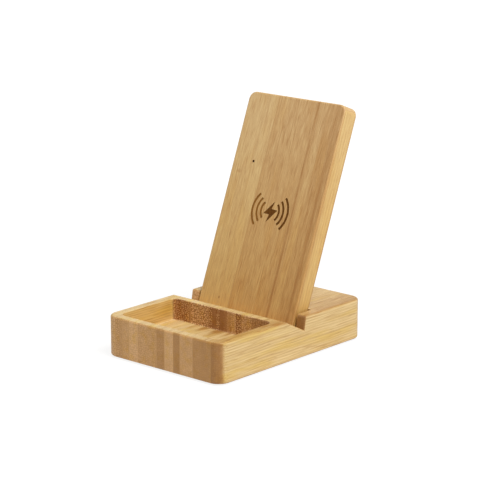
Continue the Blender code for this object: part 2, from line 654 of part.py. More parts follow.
def build_light(frame, clear, white):
    """Status light on the board, and the clear pin that carries it to the front face."""
    width, length, height = LED_SIZE
    level = BOARD_FRONT + SEAT_GAP
    rings = rectangle_body(width, length, CHIP_EDGE_RADIUS, [(0.0, level), (0.0, level + height)], LED_PLACE)
    make_object("status_led", loft([rings], "status_led"), frame, white)
    flange_front = -SHELL_FRONT_WALL - SEAT_GAP
    pin = round_body([
        (GUIDE_RADIUS, level + height + SEAT_GAP),
        (GUIDE_RADIUS, flange_front - GUIDE_FLANGE_THICKNESS),
        (GUIDE_FLANGE_RADIUS, flange_front - GUIDE_FLANGE_THICKNESS),
        (GUIDE_FLANGE_RADIUS, flange_front),
        (GUIDE_RADIUS, flange_front),
        (GUIDE_RADIUS, -SEAT_GAP),
    ], LED_PLACE, GUIDE_SIDES)
    make_object("light_guide", loft([pin], "light_guide"), frame, clear)


def build_receptacle(frame, steel, black):
    """Power receptacle: a pressed steel shell round a moulded core with its tongue."""
    place = (RECEPTACLE_MOUTH, BOARD_MIDDLE, RECEPTACLE_LEVEL)
    turn = (0.0, -math.pi / 2, 0.0)
    rings = rectangle_body(RECEPTACLE_HEIGHT, RECEPTACLE_LENGTH, RECEPTACLE_RADIUS,
                           [(0.0, -RECEPTACLE_DEPTH), (0.0, 0.0)])
    shell = make_object("receptacle_shell", loft([rings], "receptacle_shell"), frame, steel, place, turn)
    inside = rectangle_body(
        RECEPTACLE_HEIGHT - 2 * RECEPTACLE_WALL, RECEPTACLE_LENGTH - 2 * RECEPTACLE_WALL,
        RECEPTACLE_RADIUS - RECEPTACLE_WALL, [(0.0, -RECEPTACLE_DEPTH - CUT_OVERRUN), (0.0, CUT_OVERRUN)],
    )
    combine(shell, make_cutter("bore_cutter", [inside], frame, place, turn), "DIFFERENCE")

    inset = -RECEPTACLE_WALL - RECEPTACLE_FIT_GAP
    core_front = -RECEPTACLE_DEPTH + RECEPTACLE_CORE_DEPTH
    rings = rectangle_body(
        RECEPTACLE_HEIGHT + 2 * inset, RECEPTACLE_LENGTH + 2 * inset, RECEPTACLE_RADIUS + inset,
        [(0.0, -RECEPTACLE_DEPTH), (0.0, core_front)],
    )
    core = make_object("receptacle_tongue", loft([rings], "receptacle_tongue"), frame, black, place, turn)
    tip = -RECEPTACLE_DEPTH * (1 - TONGUE_REACH_SHARE)
    tongue = rectangle_body(
        TONGUE_THICKNESS, TONGUE_LENGTH, TONGUE_THICKNESS / 4,
        [(0.0, core_front - RECEPTACLE_CORE_DEPTH / 2), (0.0, tip)],
    )
    combine(core, make_cutter("tongue_tool", [tongue], frame, place, turn), "UNION")


def place_part(name, size, place_shares, frame, material):
    """One soldered part, on the board's front at a share of the board's half sizes."""
    width, length, height = size
    level = BOARD_FRONT + SEAT_GAP
    centre = (place_shares[0] * BOARD_WIDTH / 2, BOARD_MIDDLE + place_shares[1] * BOARD_LENGTH / 2)
    profile = edged_profile(level, level + height, 0.0, CHIP_EDGE_RADIUS)
    rings = rectangle_body(width, length, 2 * CHIP_EDGE_RADIUS, profile, centre)
    make_object(name, loft([rings], name), frame, material)


def build_electronics(frame, epoxy, ceramic, iron):
    """Chips, capacitors and inductor of the charging circuit."""
    place_part("controller_chip", CONTROLLER_SIZE, CONTROLLER_PLACE_SHARES, frame, epoxy)
    place_part("power_inductor", INDUCTOR_SIZE, INDUCTOR_PLACE_SHARES, frame, iron)
    for name, shares in BRIDGE_PLACE_SHARES.items():
        place_part(name, BRIDGE_SIZE, shares, frame, epoxy)
    for name, shares in INPUT_CAPACITOR_PLACE_SHARES.items():
        place_part(name, INPUT_CAPACITOR_SIZE, shares, frame, ceramic)
    for k in range(RESONANT_CAPACITOR_COUNT):
        along = RESONANT_CAPACITOR_SPREAD_SHARE * (2 * k / (RESONANT_CAPACITOR_COUNT - 1) - 1)
        shares = (RESONANT_CAPACITOR_ACROSS_SHARE, along)
        place_part(f"resonant_capacitor_{k + 1}", RESONANT_CAPACITOR_SIZE, shares, frame, ceramic)


def main():
    clear_scene()
    bamboo = make_material("bamboo", (0.62, 0.38, 0.17), 0.5)
    bamboo_plate = make_material("bamboo plate", (0.55, 0.32, 0.14), 0.5)
    rubber = make_material("rubber", (0.05, 0.05, 0.05), 0.8)
    steel = make_material("steel", (0.6, 0.6, 0.6), 0.35, 1.0)
    copper = make_material("copper", (0.72, 0.32, 0.16), 0.35, 1.0)
    tape = make_material("tape", (0.75, 0.72, 0.6), 0.6)
    ferrite = make_material("ferrite", (0.06, 0.06, 0.065), 0.6)
    foam = make_material("foam", (0.12, 0.12, 0.12), 0.9)
    laminate = make_material("board laminate", (0.02, 0.2, 0.08), 0.4)
    epoxy = make_material("chip epoxy", (0.02, 0.02, 0.02), 0.5)
    ceramic = make_material("capacitor ceramic", (0.45, 0.3, 0.18), 0.4)
    iron = make_material("pressed iron", (0.18, 0.18, 0.19), 0.6)
    clear = make_material("clear acrylic", (0.9, 0.9, 0.9), 0.1)
    white = make_material("led body", (0.85, 0.85, 0.8), 0.4)
    black = make_material("moulded nylon", (0.02, 0.02, 0.02), 0.5)

    base = make_frame("base_frame", (0.0, STAND_SHIFT, 0.0))
    plate = make_frame("plate_frame", PLATE_FOOT + Vector((0.0, STAND_SHIFT, 0.0)), math.pi / 2 - PLATE_LEAN)
    build_base(base, bamboo, rubber)
    build_shell(plate, bamboo_plate)
    build_cover(plate, bamboo_plate, steel)
    build_coil(plate, copper, tape, ferrite, foam)
    build_board(plate, laminate, steel)
    build_light(plate, clear, white)
    build_receptacle(plate, steel, black)
    build_electronics(plate, epoxy, ceramic, iron)


main()
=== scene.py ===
from functools import partial
from math import acos, cos, pi, radians, sin, tan

import bpy
import numpy as np
from mathutils import Matrix, Vector


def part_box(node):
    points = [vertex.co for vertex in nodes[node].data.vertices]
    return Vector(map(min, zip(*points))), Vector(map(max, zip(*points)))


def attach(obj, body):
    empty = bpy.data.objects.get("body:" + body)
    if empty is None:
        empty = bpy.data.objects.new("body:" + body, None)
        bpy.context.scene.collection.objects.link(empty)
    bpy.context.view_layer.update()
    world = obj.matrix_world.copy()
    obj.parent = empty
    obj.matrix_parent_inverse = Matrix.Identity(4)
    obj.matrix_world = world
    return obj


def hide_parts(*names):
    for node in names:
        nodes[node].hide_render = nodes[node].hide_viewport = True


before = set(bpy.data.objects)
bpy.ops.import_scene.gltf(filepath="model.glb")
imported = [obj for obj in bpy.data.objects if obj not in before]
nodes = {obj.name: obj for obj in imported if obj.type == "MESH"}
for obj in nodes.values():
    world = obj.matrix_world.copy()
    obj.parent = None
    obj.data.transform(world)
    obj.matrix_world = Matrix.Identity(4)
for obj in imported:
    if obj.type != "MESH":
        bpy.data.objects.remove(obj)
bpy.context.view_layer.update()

metre = 0.001  # shapes are worked out in millimetres and set down in metres
surfaceLift = 0.004  # a tool's last ring stands this far off the surface that it cuts, never just on it
smooth = {"interpolation_type": "SMOOTHSTEP"}  # for a fade with soft ends
cut, join = "DIFFERENCE", "UNION"  # what a tool does to a piece


# shared ways of making things: colours, nodes, outlines, profiles, joined shapes

def linearColour(code):
    # sRGB hex to linear: each channel over 255, with the sRGB curve undone; a ready value stays as it is
    if not isinstance(code, str):
        return code
    parts = [int(code[k:k + 2], 16) / 255 for k in (1, 3, 5)]
    return (*[c / 12.92 if c <= 0.04045 else ((c + 0.055) / 1.055) ** 2.4 for c in parts], 1.0)


def setInputs(node, inputs):
    # each input is linked to a socket, or to a node's first output in use, or else set
    for key, value in inputs.items():
        if isinstance(value, bpy.types.Node):
            value = next(socket for socket in value.outputs if socket.enabled)
        if isinstance(value, bpy.types.NodeSocket):
            node.id_data.links.new(value, node.inputs[key])
        else:
            node.inputs[key].default_value = linearColour(value)


def addNode(tree, kind, inputs=(), stops=(), **settings):
    # one node: its settings, a ramp's stops of place and colour, and its inputs by name or in their order
    node = tree.nodes.new("ShaderNode" + kind)
    for key, value in settings.items():
        setattr(node, key, value)
    if stops:
        ramp = node.color_ramp.elements
        while len(ramp) < len(stops):
            ramp.new(1.0)
        for stop, (place, colour) in zip(ramp, stops):
            stop.position, stop.color = place, linearColour(colour)
    setInputs(node, inputs if isinstance(inputs, dict) else dict(enumerate(inputs)))
    return node


def emptyNodes(owner):
    # clears a material's or world's nodes, and ties the function that adds them to it
    owner.use_nodes = True
    owner.node_tree.nodes.clear()
    return partial(addNode, owner.node_tree)


def newMaterial(name, inputs):
    # a Principled material with its uniform numbers set on the shader itself, and what adds its nodes
    material = bpy.data.materials.new(name)
    material.use_nodes = True
    shader = material.node_tree.nodes["Principled BSDF"]
    setInputs(shader, inputs)
    return material, shader, partial(addNode, material.node_tree)


def addObject(name, data):
    # an object of this mesh, lamp or camera, in the scene
    thing = bpy.data.objects.new(name, data)
    bpy.context.scene.collection.objects.link(thing)
    return thing


def roundedOutline(width, length, radius, steps=12, middle=(0.0, 0.0)):
    # four quarter circles, each about its own corner centre; outward is the circle's own direction
    angle = np.arange(4)[:, None] * pi / 2 + np.linspace(0, pi / 2, steps + 1)
    outward = np.stack([np.cos(angle), np.sin(angle)], -1)
    side = np.array([[1, 1], [-1, 1], [-1, -1], [1, -1]])[:, None, :]
    centre = side * np.array([width / 2 - radius, length / 2 - radius]) + np.array(middle)
    return (centre + radius * outward).reshape(-1, 2), outward.reshape(-1, 2)


def circleOutline(radius, sides=48, middle=(0.0, 0.0)):
    # a point at each equal turn of the circle
    angle = np.linspace(0, 2 * pi, sides, endpoint=False)
    outward = np.stack([np.cos(angle), np.sin(angle)], -1)
    return radius * outward + np.array(middle), outward


def sharpOutline(corners):
    # the corners themselves; outward halves the angle between two sides, longer where they meet sharply
    points = np.array(corners, float)
    along = np.roll(points, -1, 0) - points
    along /= np.linalg.norm(along, axis=1)[:, None]
    after = np.stack([along[:, 1], -along[:, 0]], -1)
    before = np.roll(after, 1, 0)
    return points, (before + after) / (1 + (before * after).sum(1))[:, None]


def uprightProfile(low, high, lowRadius=0.0, highRadius=0.0, steps=6):
    # offset and height up a wall: a quarter circle in at the foot and another at the top
    turn = np.linspace(0, pi / 2, steps + 1)
    foot = np.stack([lowRadius * (np.sin(turn) - 1), low + lowRadius * (1 - np.cos(turn))], -1)
    head = np.stack([highRadius * (np.cos(turn) - 1), high - highRadius * (1 - np.sin(turn))], -1)
    return np.concatenate([foot if lowRadius else foot[-1:], head if highRadius else head[:1]])


def pocketProfile(floor, top, floorRadius, lipRadius, steps=6):
    # wall of a cut: an upright one whose upper arc flares outwards instead, carried on 1 mm past the surface
    wall = uprightProfile(floor, top, floorRadius, lipRadius, steps)
    wall[-steps - 1:, 0] *= -1
    wall[-1, 1] += surfaceLift
    return np.concatenate([wall, wall[-1:] + (0.0, 1.0)])


def carry(outline, profile):
    # grid of points: the outline moved along its outward directions by each offset, at each height
    points, outward = outline
    flat = points[None] + outward[None] * profile[:, None, :1]
    height = np.broadcast_to(profile[:, None, 1:], flat.shape[:2] + (1,))
    return np.concatenate([flat, height], -1)


def newPiece(name, points, faces, material):
    # a mesh of these points, in millimetres, and faces, smooth, on an object at the origin
    mesh = bpy.data.meshes.new(name)
    mesh.from_pydata((points * metre).tolist(), [], faces)
    mesh.materials.append(material)
    mesh.shade_smooth()
    return addObject(name, mesh)


def skin(name, grids, material, turn=np.eye(3), place=(0.0, 0.0, 0.0)):
    # for each grid: quads between each ring and the next, and a flat cap on the first and last
    faces, points, start = [], [], 0
    for rings in grids:
        count, around = rings.shape[:2]
        k = start + np.arange(around)
        row = (np.arange(count - 1) * around)[:, None]
        after = np.roll(k, -1)
        quads = np.stack([row + k, row + after, row + around + after, row + around + k], -1).reshape(-1, 4)
        faces += quads.tolist() + [k[::-1].tolist(), (k + (count - 1) * around).tolist()]
        points.append(rings.reshape(-1, 3))
        start += count * around
    return newPiece(name, np.concatenate(points) @ turn.T + np.array(place), faces, material)


def carve(piece, steps):
    # exact booleans with each tool in turn, kept as one mesh; a tool gives its cut its own material
    for tool, operation in steps:
        modifier = piece.modifiers.new(tool.name, "BOOLEAN")
        modifier.operation, modifier.solver, modifier.object = operation, "EXACT", tool
        modifier.material_mode = "TRANSFER"
    keepShape(piece)
    for tool, operation in steps:
        bpy.data.objects.remove(tool)
    return soften(piece)


def keepShape(piece):
    # the shape that the modifiers give becomes the piece's own mesh
    bpy.context.view_layer.update()
    shaped = bpy.data.meshes.new_from_object(piece.evaluated_get(bpy.context.evaluated_depsgraph_get()))
    piece.modifiers.clear()
    piece.data = shaped


def soften(piece, angle=32.0):
    # smooth over rounded stretches, sharp at real corners, and flat on the broad faces
    piece.data.shade_smooth()
    piece.data.set_sharp_from_angle(angle=radians(angle))
    modifier = piece.modifiers.new("flat faces", "WEIGHTED_NORMAL")
    modifier.keep_sharp = True
    keepShape(piece)
    return piece


def seat(piece, body, slotName, *standsFor):
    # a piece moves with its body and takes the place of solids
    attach(piece, body)
    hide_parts(*standsFor)
    return piece


def rotationX(angle):
    # turn about X, from Y towards Z
    cosine, sine = cos(angle), sin(angle)
    return np.array([[1, 0, 0], [0, cosine, -sine], [0, sine, cosine]])


# where the two bodies stand in the frame

stand = {
    "lean": radians(21.4),   # plate from upright
    "baseTop": 25.3,
    "plateFacePlace": 9.4,        # front face of the plate where it leaves the base, behind the base's middle
    "seatedLength": 14.5,         # of the plate, inside the slot
}
lowCorner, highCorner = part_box("base_block")
basePlace = np.array([0.0, (lowCorner.y + highCorner.y) / 2 / metre, 0.0])
plateTurn = rotationX(pi / 2 - stand["lean"])
plateFoot = basePlace + np.array([
    0.0,
    stand["plateFacePlace"] - stand["seatedLength"] * sin(stand["lean"]),
    stand["baseTop"] - stand["seatedLength"] * cos(stand["lean"]),
])
acrossX = np.array([[0, 0, 1], [1, 0, 0], [0, 1, 0]], float)    # outline in Y and Z, height along X
outwardLeft = np.array([[0, 0, -1], [0, 1, 0], [1, 0, 0]], float)  # outline in Z and Y, height along -X


# materials: procedural, in the object's own coordinates

def bambooMaterial(name, look):
    # laminated bamboo, planed, sanded and oiled: upright strips with thin dark fibres along them,
    # a dotted end where the fibres are cut through, and a soft satin shine
    oiled = {"IOR": 1.5, "Coat Weight": look["coat"], "Coat Roughness": 0.3}
    material, shader, add = newMaterial(name, oiled)
    place, turn = add("TexCoord"), look["turn"]
    grain = add("Mapping", {
        "Vector": place.outputs["Object"], "Location": look["shift"], "Rotation": turn,
        "Scale": (1 / metre,) * 3,
    })
    split = add("SeparateXYZ", (grain,))
    facing = add("Mapping", {"Vector": place.outputs["Normal"], "Rotation": turn}, vector_type="VECTOR")
    towards = add("SeparateXYZ", (facing,))
    shares = {}
    for key, axis in (("end", "Y"), ("side", "X")):
        size = add("Math", (towards.outputs[axis],), operation="ABSOLUTE")
        shares[key] = add("MapRange", (size, *look[key + "Facing"]), **smooth)

    # strips: red is the tone of the cut end, green a number of its own, blue the face's tone, alpha the dots
    half, joint, count = look["halfWidth"], look["jointWidth"] / 2, len(look["strips"])
    share = add("MapRange", (split.outputs["X"], -half, half))
    ramps = {}
    wholeTones = [(end, k / count, face, dots) for k, (start, end, face, dots) in enumerate(look["strips"])]
    openedTones = [(tone, tone, tone, dots) for start, tone, dots in look["openedStrips"]]
    for key, values in (("strips", wholeTones), ("openedStrips", openedTones)):
        edges = [strip[0] for strip in look[key]] + [half]
        ramps[key] = add("ValToRGB", (share,), [
            ((edge + half) / (2 * half), value) for k, value in enumerate(values)
            for edge in (edges[k] + joint, edges[k + 1] - joint)
        ])
    strip, opened = ramps.values()
    tones = add("SeparateColor", (strip,))
    shifted = add("VectorMath", (tones.outputs["Green"], look["stripShift"], grain), operation="MULTIPLY_ADD")

    # the fibres wander a little as they run; each pattern is long along the grain and narrow across it
    across, along = look["wanderSize"]
    slow = add("VectorMath", (shifted, (1 / across, 1 / along, 1 / across)), operation="MULTIPLY")
    drift = add("TexNoise", {"Vector": slow, "Scale": 1.0, "Detail": 1.0})
    swing = (look["wander"], 0.0, look["wander"])
    wander = add("VectorMath", (drift.outputs["Color"], swing, shifted), operation="MULTIPLY_ADD")
    space = {}
    for key, (across, along) in look["patterns"].items():
        space[key] = add("VectorMath", (wander, (1 / across, 1 / along, 1 / across)), operation="MULTIPLY")
    noise = {}
    for key, (detail, roughness) in look["details"].items():
        noise[key] = add("TexNoise", {
            "Vector": space[key], "Scale": 1.0, "Detail": detail, "Roughness": roughness,
        })
    fibre, band, streak, patch = (noise[key] for key in ("fibre", "band", "line", "patch"))

    # a cut end's dots: round cells, brightest in the middle
    crossed = add("SeparateXYZ", (space["bundle"],))
    flat = add("CombineXYZ", (crossed.outputs["X"], crossed.outputs["Z"]))
    cell = add("TexVoronoi", {"Vector": flat, "Scale": 1.0, "Randomness": 0.6}, voronoi_dimensions="2D")
    bundle = add("MapRange", (cell, *look["dotEdge"], *look["dotTones"]), **smooth)

    # end grain that the tray's cutter opened: its strips have tones and dots of their own, kept darker as
    # painted shade inside the tray
    middle, reach = look["openedShadedPart"]
    offMiddle = add("Math", (split.outputs["Y"], middle), operation="SUBTRACT")
    length = add("Math", (offMiddle,), operation="ABSOLUTE")
    openedShaded = add("MapRange", (length, reach - look["openedShadedFade"], reach, 1.0, 0.0))
    endTone = add("Mix", {0: openedShaded, 2: tones.outputs["Red"], 3: opened})
    dots = add("Mix", {0: openedShaded, 2: strip.outputs["Alpha"], 3: opened.outputs["Alpha"]})
    clearness = add("MapRange", (openedShaded, 0.0, 1.0, *look["clearness"]))
    clear = add("Math", (dots, clearness), operation="MULTIPLY")
    dotted = add("Math", (bundle, clear), operation="MULTIPLY")

    # thin lines, where the pattern passes its middle value: bundles lying open along the face
    offset = add("Math", (streak, 0.5), operation="SUBTRACT")
    ridge = add("Math", (offset,), operation="ABSOLUTE")
    line = add("MapRange", (ridge, 0.0, look["lineWidth"], *look["lineTones"]), **smooth)

    # the outer sides show one strip's broad face, of an even tone, ruled by fine lines, one to a unit
    faceTone = add("Mix", {0: shares["side"], 2: tones.outputs["Blue"], 3: look["sideTone"]})
    rule = add("TexWave", {
        "Vector": space["rule"], "Scale": pi / 10, "Distortion": 2.4, "Detail": 1.0, "Detail Scale": 1.4,
    }, wave_type="BANDS", bands_direction="Z")
    fine = rule.outputs["Fac"]
    ruled = add("MapRange", (fine, 0.0, look["ruleWidth"], *look["ruleTones"]), **smooth)
    marked = add("Math", (ruled, shares["side"], faceTone), operation="MULTIPLY_ADD")
    calm = add("MapRange", (shares["side"], 0.0, 1.0, 1.0, look["sideCalm"]))
    for middle, sizes, inner, drop in look["marks"]:
        away = add("VectorMath", (grain, middle), operation="SUBTRACT")
        scaled = add("VectorMath", (away, tuple(1 / size for size in sizes)), operation="MULTIPLY")
        far = add("VectorMath", (scaled,), operation="LENGTH")
        spot = add("MapRange", (far, inner, 1.0, -drop, 0.0), **smooth)
        marked = add("Math", (marked, spot), operation="ADD")

    # each surface's tone and patterns are added up and turned into its colours
    colours = {key: look[key] for key in ("warm", "footShadeTint", "sideTint", "innerShadeTint")}
    for key, kinds, tone, detail, weight in (
        ("face", ("face",), marked, line, calm), ("end", ("end", "opened"), endTone, dotted, 1.0),
    ):
        amounts = look[key + "Amounts"]
        texture = -(amounts["fibre"] + amounts["band"]) / 2
        for pattern, amount in ((fibre, "fibre"), (band, "band"), (detail, "detail")):
            texture = add("Math", (pattern, amounts[amount], texture), operation="MULTIPLY_ADD")
        total = add("Math", (texture, weight, tone), operation="MULTIPLY_ADD")
        for kind in kinds:
            codes = look[kind + "Colours"]
            stops = list(zip(np.linspace(0, 1, len(codes)), codes))
            colours[kind] = add("ValToRGB", (total,), stops)

    # patches of the wood are warmer than others; the board's foot is darker and warmer, less so on its sides,
    # as painted shade and painted warm light bounced off the base; faces to the left and right have a tint of
    # their own, and walls inside a cut that face that way a warmer one, painted warm shade of the hollow
    warmShare = add("MapRange", (patch, *look["warmPart"]), **smooth)
    footShadeShare = add("MapRange", (split.outputs["Y"], *look["foot"], calm, 0.0))
    offCentre = add("Math", (split.outputs["X"],), operation="ABSOLUTE")
    innerShadeShare = add("Math", (offCentre, look["innerShadeReach"]), operation="LESS_THAN")
    for result, blend, share, first, second in (
        ("end", "MIX", openedShaded, "end", "opened"),
        ("whole", "MIX", shares["end"], "face", "end"),
        ("whole", "MULTIPLY", warmShare, "whole", "warm"),
        ("whole", "MULTIPLY", footShadeShare, "whole", "footShadeTint"),
        ("tint", "MIX", innerShadeShare, "sideTint", "innerShadeTint"),
        ("whole", "MULTIPLY", shares["side"], "whole", "tint"),
    ):
        pair = {0: share, 6: colours[first], 7: colours[second]}
        colours[result] = add("Mix", pair, data_type="RGBA", blend_type=blend)
    relief = add("Math", (line, look["lineRelief"], fibre), operation="MULTIPLY_ADD")
    setInputs(shader, {
        "Base Color": colours["whole"],
        "Roughness": add("MapRange", (fibre, 0.0, 1.0, *look["roughness"])),
        "Normal": add("Bump", {
            "Height": relief, "Strength": look["relief"], "Distance": look["reliefDepth"] * metre,
        }),
    })
    return material


baseLook = {
    "shift": (0.0, 0.0, 0.0),
    "turn": (0.0, 0.0, 0.0),
    "endFacing": (0.3, 0.72), "sideFacing": (0.8, 0.95),  # how squarely a face looks that way, from 0 to 1
    "halfWidth": 45.5, "jointWidth": 0.3,
    # each strip: left side in mm, tone of its end, tone of its face, strength of its dots
    "strips": [
        (-45.5, 0.82, 0.54, 0.9), (-36.5, 0.61, 0.6, 0.6), (-33.0, 0.59, 0.6, 0.3), (-31.0, 0.71, 0.62, 0.3),
        (-25.5, 0.96, 0.68, 0.9), (-18.5, 0.67, 0.52, 0.35), (-11.0, 0.66, 0.58, 0.3),
        (-3.5, 0.46, 0.46, 0.2), (2.5, 0.83, 0.62, 0.2), (9.5, 0.38, 0.48, 0.15), (14.5, 0.71, 0.54, 0.2),
        (24.5, 0.45, 0.46, 0.15), (31.5, 0.42, 0.32, 0.15), (38.3, 0.1, 0.18, 0.15),
    ],
    # the strips that the tray's cutter opened: left side in mm, tone (low, partly painted shade inside the
    # tray), strength of the dots
    "openedStrips": [
        (-45.5, 0.02, 0.3), (-35.0, 0.2, 0.35), (-28.5, 0.42, 0.2), (-25.2, 0.98, 0.75), (-13.2, 0.62, 0.4),
        (-11.2, 0.34, 0.25), (-8.4, 0.17, 0.05), (-4.8, 0.36, 0.4), (-2.3, 0.16, 0.03), (0.9, 0.29, 0.08),
        (3.5, 0.6, 0.08), (7.0, 0.78, 0.2), (10.4, 0.3, 0.3), (15.0, 0.7, 0.2), (23.0, 0.4, 0.15),
    ],
    "sideTone": 0.54, "sideTint": "#FFFFFF", "sideCalm": 0.68,
    # a warmer tint on walls inside a cut that face left or right, within this reach of the middle in mm:
    # painted warm shade of the hollow
    "innerShadeTint": "#FFF8E0", "innerShadeReach": 41.0,
    "stripShift": (137.0, 911.0, 331.0),
    # the wander in mm, and its size and each pattern's across the grain and along it, in mm; a cut end's
    # bundles are drawn over 1 mm wide, coarser than the real half millimetre, which is too fine to show
    "wander": 1.0, "wanderSize": (20.0, 38.0),
    "patterns": {
        "fibre": (0.5, 14.0), "band": (4.0, 40.0), "bundle": (1.28, 45.0), "line": (1.0, 34.0),
        "patch": (5.0, 45.0), "rule": (1.6, 36.0),
    },
    "details": {"fibre": (3.0, 0.65), "band": (1.5, 0.5), "line": (0.6, 0.5), "patch": (2.0, 0.5)},
    # where a dot, line or rule ends in its pattern's value, and its tones in the middle and outside
    "dotEdge": (0.12, 0.46), "dotTones": (0.75, -0.25),
    "lineWidth": 0.06, "lineTones": (0.7, -0.3),
    "ruleWidth": 0.7, "ruleTones": (-0.13, 0.052),
    "faceAmounts": {"fibre": 1.15, "band": 0.45, "detail": -0.36},
    "endAmounts": {"fibre": 0.3, "band": 0.24, "detail": 0.75},
    "faceColours": ("#AC7A3A", "#D4B276", "#F1D69E"),
    "endColours": ("#986832", "#BC8A4D", "#E3B47C"),
    "openedColours": ("#996131", "#BE8A54", "#E8BD89"),
    # where the opened strips show: the tray's middle along Y and its reach in mm, then the fade; their
    # darkness there is partly painted shade
    "openedShadedPart": (-36.0, 26.0), "openedShadedFade": 2.0, "clearness": (1.1, 5.2),
    "warm": "#FCF7CE", "warmPart": (0.45, 0.7),
    "foot": (-202.0, -201.0), "footShadeTint": "#FFFFFF",
    "roughness": (0.58, 0.44),  # in the dark of the fibres and in their light
    "relief": 0.3, "reliefDepth": 0.1, "lineRelief": -0.6,
    "coat": 0.04,
    # darker places: middle and half size in mm, the share of that size without a fade, the drop in tone
    "marks": [
        # the first four lie where the tray's floor meets its rear wall: darker streaks, partly grain and
        # partly painted shade of that corner
        ((-2.6, -12.5, 12.1), (4.6, 12.0, 1.5), 0.2, 0.62),
        ((-12.0, -12.5, 12.1), (3.8, 13.0, 1.5), 0.2, 0.62),
        ((6.5, -14.0, 12.1), (2.0, 15.0, 1.5), 0.1, 0.45),
        ((-19.5, -17.0, 12.1), (2.4, 12.0, 1.5), 0.1, 0.4),
    ],
}
plateShift = -(rotationX(-(pi / 2 - stand["lean"])) @ plateFoot)
plateLook = dict(
    baseLook,
    shift=tuple(plateShift),
    turn=(-(pi / 2 - stand["lean"]), 0.0, 0.0),
    halfWidth=38.0,
    strips=[
        (-38.0, 0.5, 0.70, 0.4), (-30.0, 0.6, 0.70, 0.4), (-22.6, 0.3, 0.58, 0.4), (-21.8, 0.5, 0.72, 0.4),
        (-13.6, 0.4, 0.34, 0.4), (-13.0, 0.4, 0.50, 0.4), (-4.0, 0.5, 0.51, 0.4), (6.0, 0.4, 0.46, 0.4),
        (14.3, 0.3, 0.38, 0.4), (16.4, 0.2, 0.16, 0.4), (18.0, 0.5, 0.42, 0.4), (20.0, 0.6, 0.54, 0.4),
        # the last strip, from 36.8 mm, lies on the right edge's rounding: light, carrying the side's tone
        # round the edge, and partly a painted highlight on that edge
        (24.5, 0.4, 0.34, 0.4), (31.3, 0.2, 0.24, 0.4), (33.2, 0.4, 0.28, 0.4), (36.8, 0.5, 0.66, 0.4),
    ],
    openedStrips=[(-38.0, 0.5, 0.4)],
    sideTone=0.78,
    sideTint="#FBF9E9",
    innerShadeReach=0.0,
    sideCalm=0.7,
    stripShift=(173.0, 773.0, 231.0),
    patterns={
        "fibre": (0.5, 8.0), "band": (3.2, 60.0), "bundle": (1.5, 45.0), "line": (1.1, 30.0),
        "patch": (12.0, 40.0), "rule": (2.4, 60.0),
    },
    faceAmounts={"fibre": 1.4, "band": 0.3, "detail": -0.25},
    faceColours=("#B18048", "#D0A66F", "#E8C88E"),
    endColours=("#C29556", "#DDB77D", "#EDCB95"),
    openedShadedPart=(0.0, 0.0),
    warm="#FDF8EC",
    # painted shade and bounce light at the board's foot: full up to 20 mm up the board, gone at 125 mm
    foot=(20.0, 125.0),
    footShadeTint="#F4EAC6",
    marks=[
        ((-30.6, 90.7, 0.0), (2.6, 1.5, 50.0), 0.55, 0.2),
        ((-31.0, 90.5, 0.0), (1.2, 0.5, 50.0), 0.2, 0.3),
        ((-21.8, 13.7, 0.0), (0.7, 1.1, 50.0), 0.3, 0.9),
        ((38.0, 10.0, -0.6), (2.0, 160.0, 3.4), 0.45, 0.36),
        ((38.0, 70.0, -12.1), (2.0, 190.0, 2.6), 0.5, 0.25),
        ((32.9, 50.0, 0.0), (1.7, 115.0, 6.0), 0.2, 0.23),
        ((17.3, 28.0, 0.0), (0.9, 70.0, 6.0), 0.2, 0.2),
    ],
)
bambooBlock = bambooMaterial("laminated bamboo, milled and oiled", baseLook)
bambooBoard = bambooMaterial("laminated bamboo board, sanded and oiled", plateLook)
print("bamboo mixed")

# laser-burnt bamboo: a dull dark brown, paler on the left, where the beam began and the wood was cool
burnt = {
    "sootSize": 1.1, "sootShare": 0.6, "coolPlace": -10.0, "coolReach": (4.0, 9.0), "coolShare": 0.7,
    "stops": [(0.15, "#5C3300"), (1.0, "#93642A")], "roughness": (0.75, 0.9),
}
scorched, shader, add = newMaterial("bamboo, laser burnt", {"IOR": 1.5, "Specular IOR Level": 0.2})
place = add("TexCoord")
sootScale = 1 / (burnt["sootSize"] * metre)
soot = add("TexNoise", {"Vector": place.outputs["Object"], "Scale": sootScale, "Detail": 2.0})
across = add("SeparateXYZ", (place.outputs["Object"],))
offCool = add("Math", (across.outputs["X"], burnt["coolPlace"] * metre), operation="SUBTRACT")
away = add("Math", (offCool,), operation="ABSOLUTE")
near, far = (reach * metre for reach in burnt["coolReach"])
cool = add("MapRange", (away, near, far, burnt["coolShare"], 0.0))
pale = add("Math", (soot, burnt["sootShare"], cool), operation="MULTIPLY_ADD")
setInputs(shader, {
    "Base Color": add("ValToRGB", (pale,), burnt["stops"]),
    "Roughness": add("MapRange", (soot, 0.0, 1.0, *burnt["roughness"])),
})


def plainMaterial(name, grit, dark, light, roughness, relief, depth, given):
    # one colour broken up by a speckle of the grit's size, with the speckle's relief
    material, shader, add = newMaterial(name, given)
    place = add("TexCoord")
    speckle = add("TexNoise", {"Vector": place.outputs["Object"], "Scale": 1 / (grit * metre), "Detail": 2.0})
    setInputs(shader, {
        "Base Color": add("ValToRGB", (speckle,), [(0.3, dark), (0.7, light)]),
        "Roughness": add("MapRange", (speckle, 0.0, 1.0, *roughness)),
        "Normal": add("Bump", {"Height": speckle, "Strength": relief, "Distance": depth * metre}),
    })
    return material


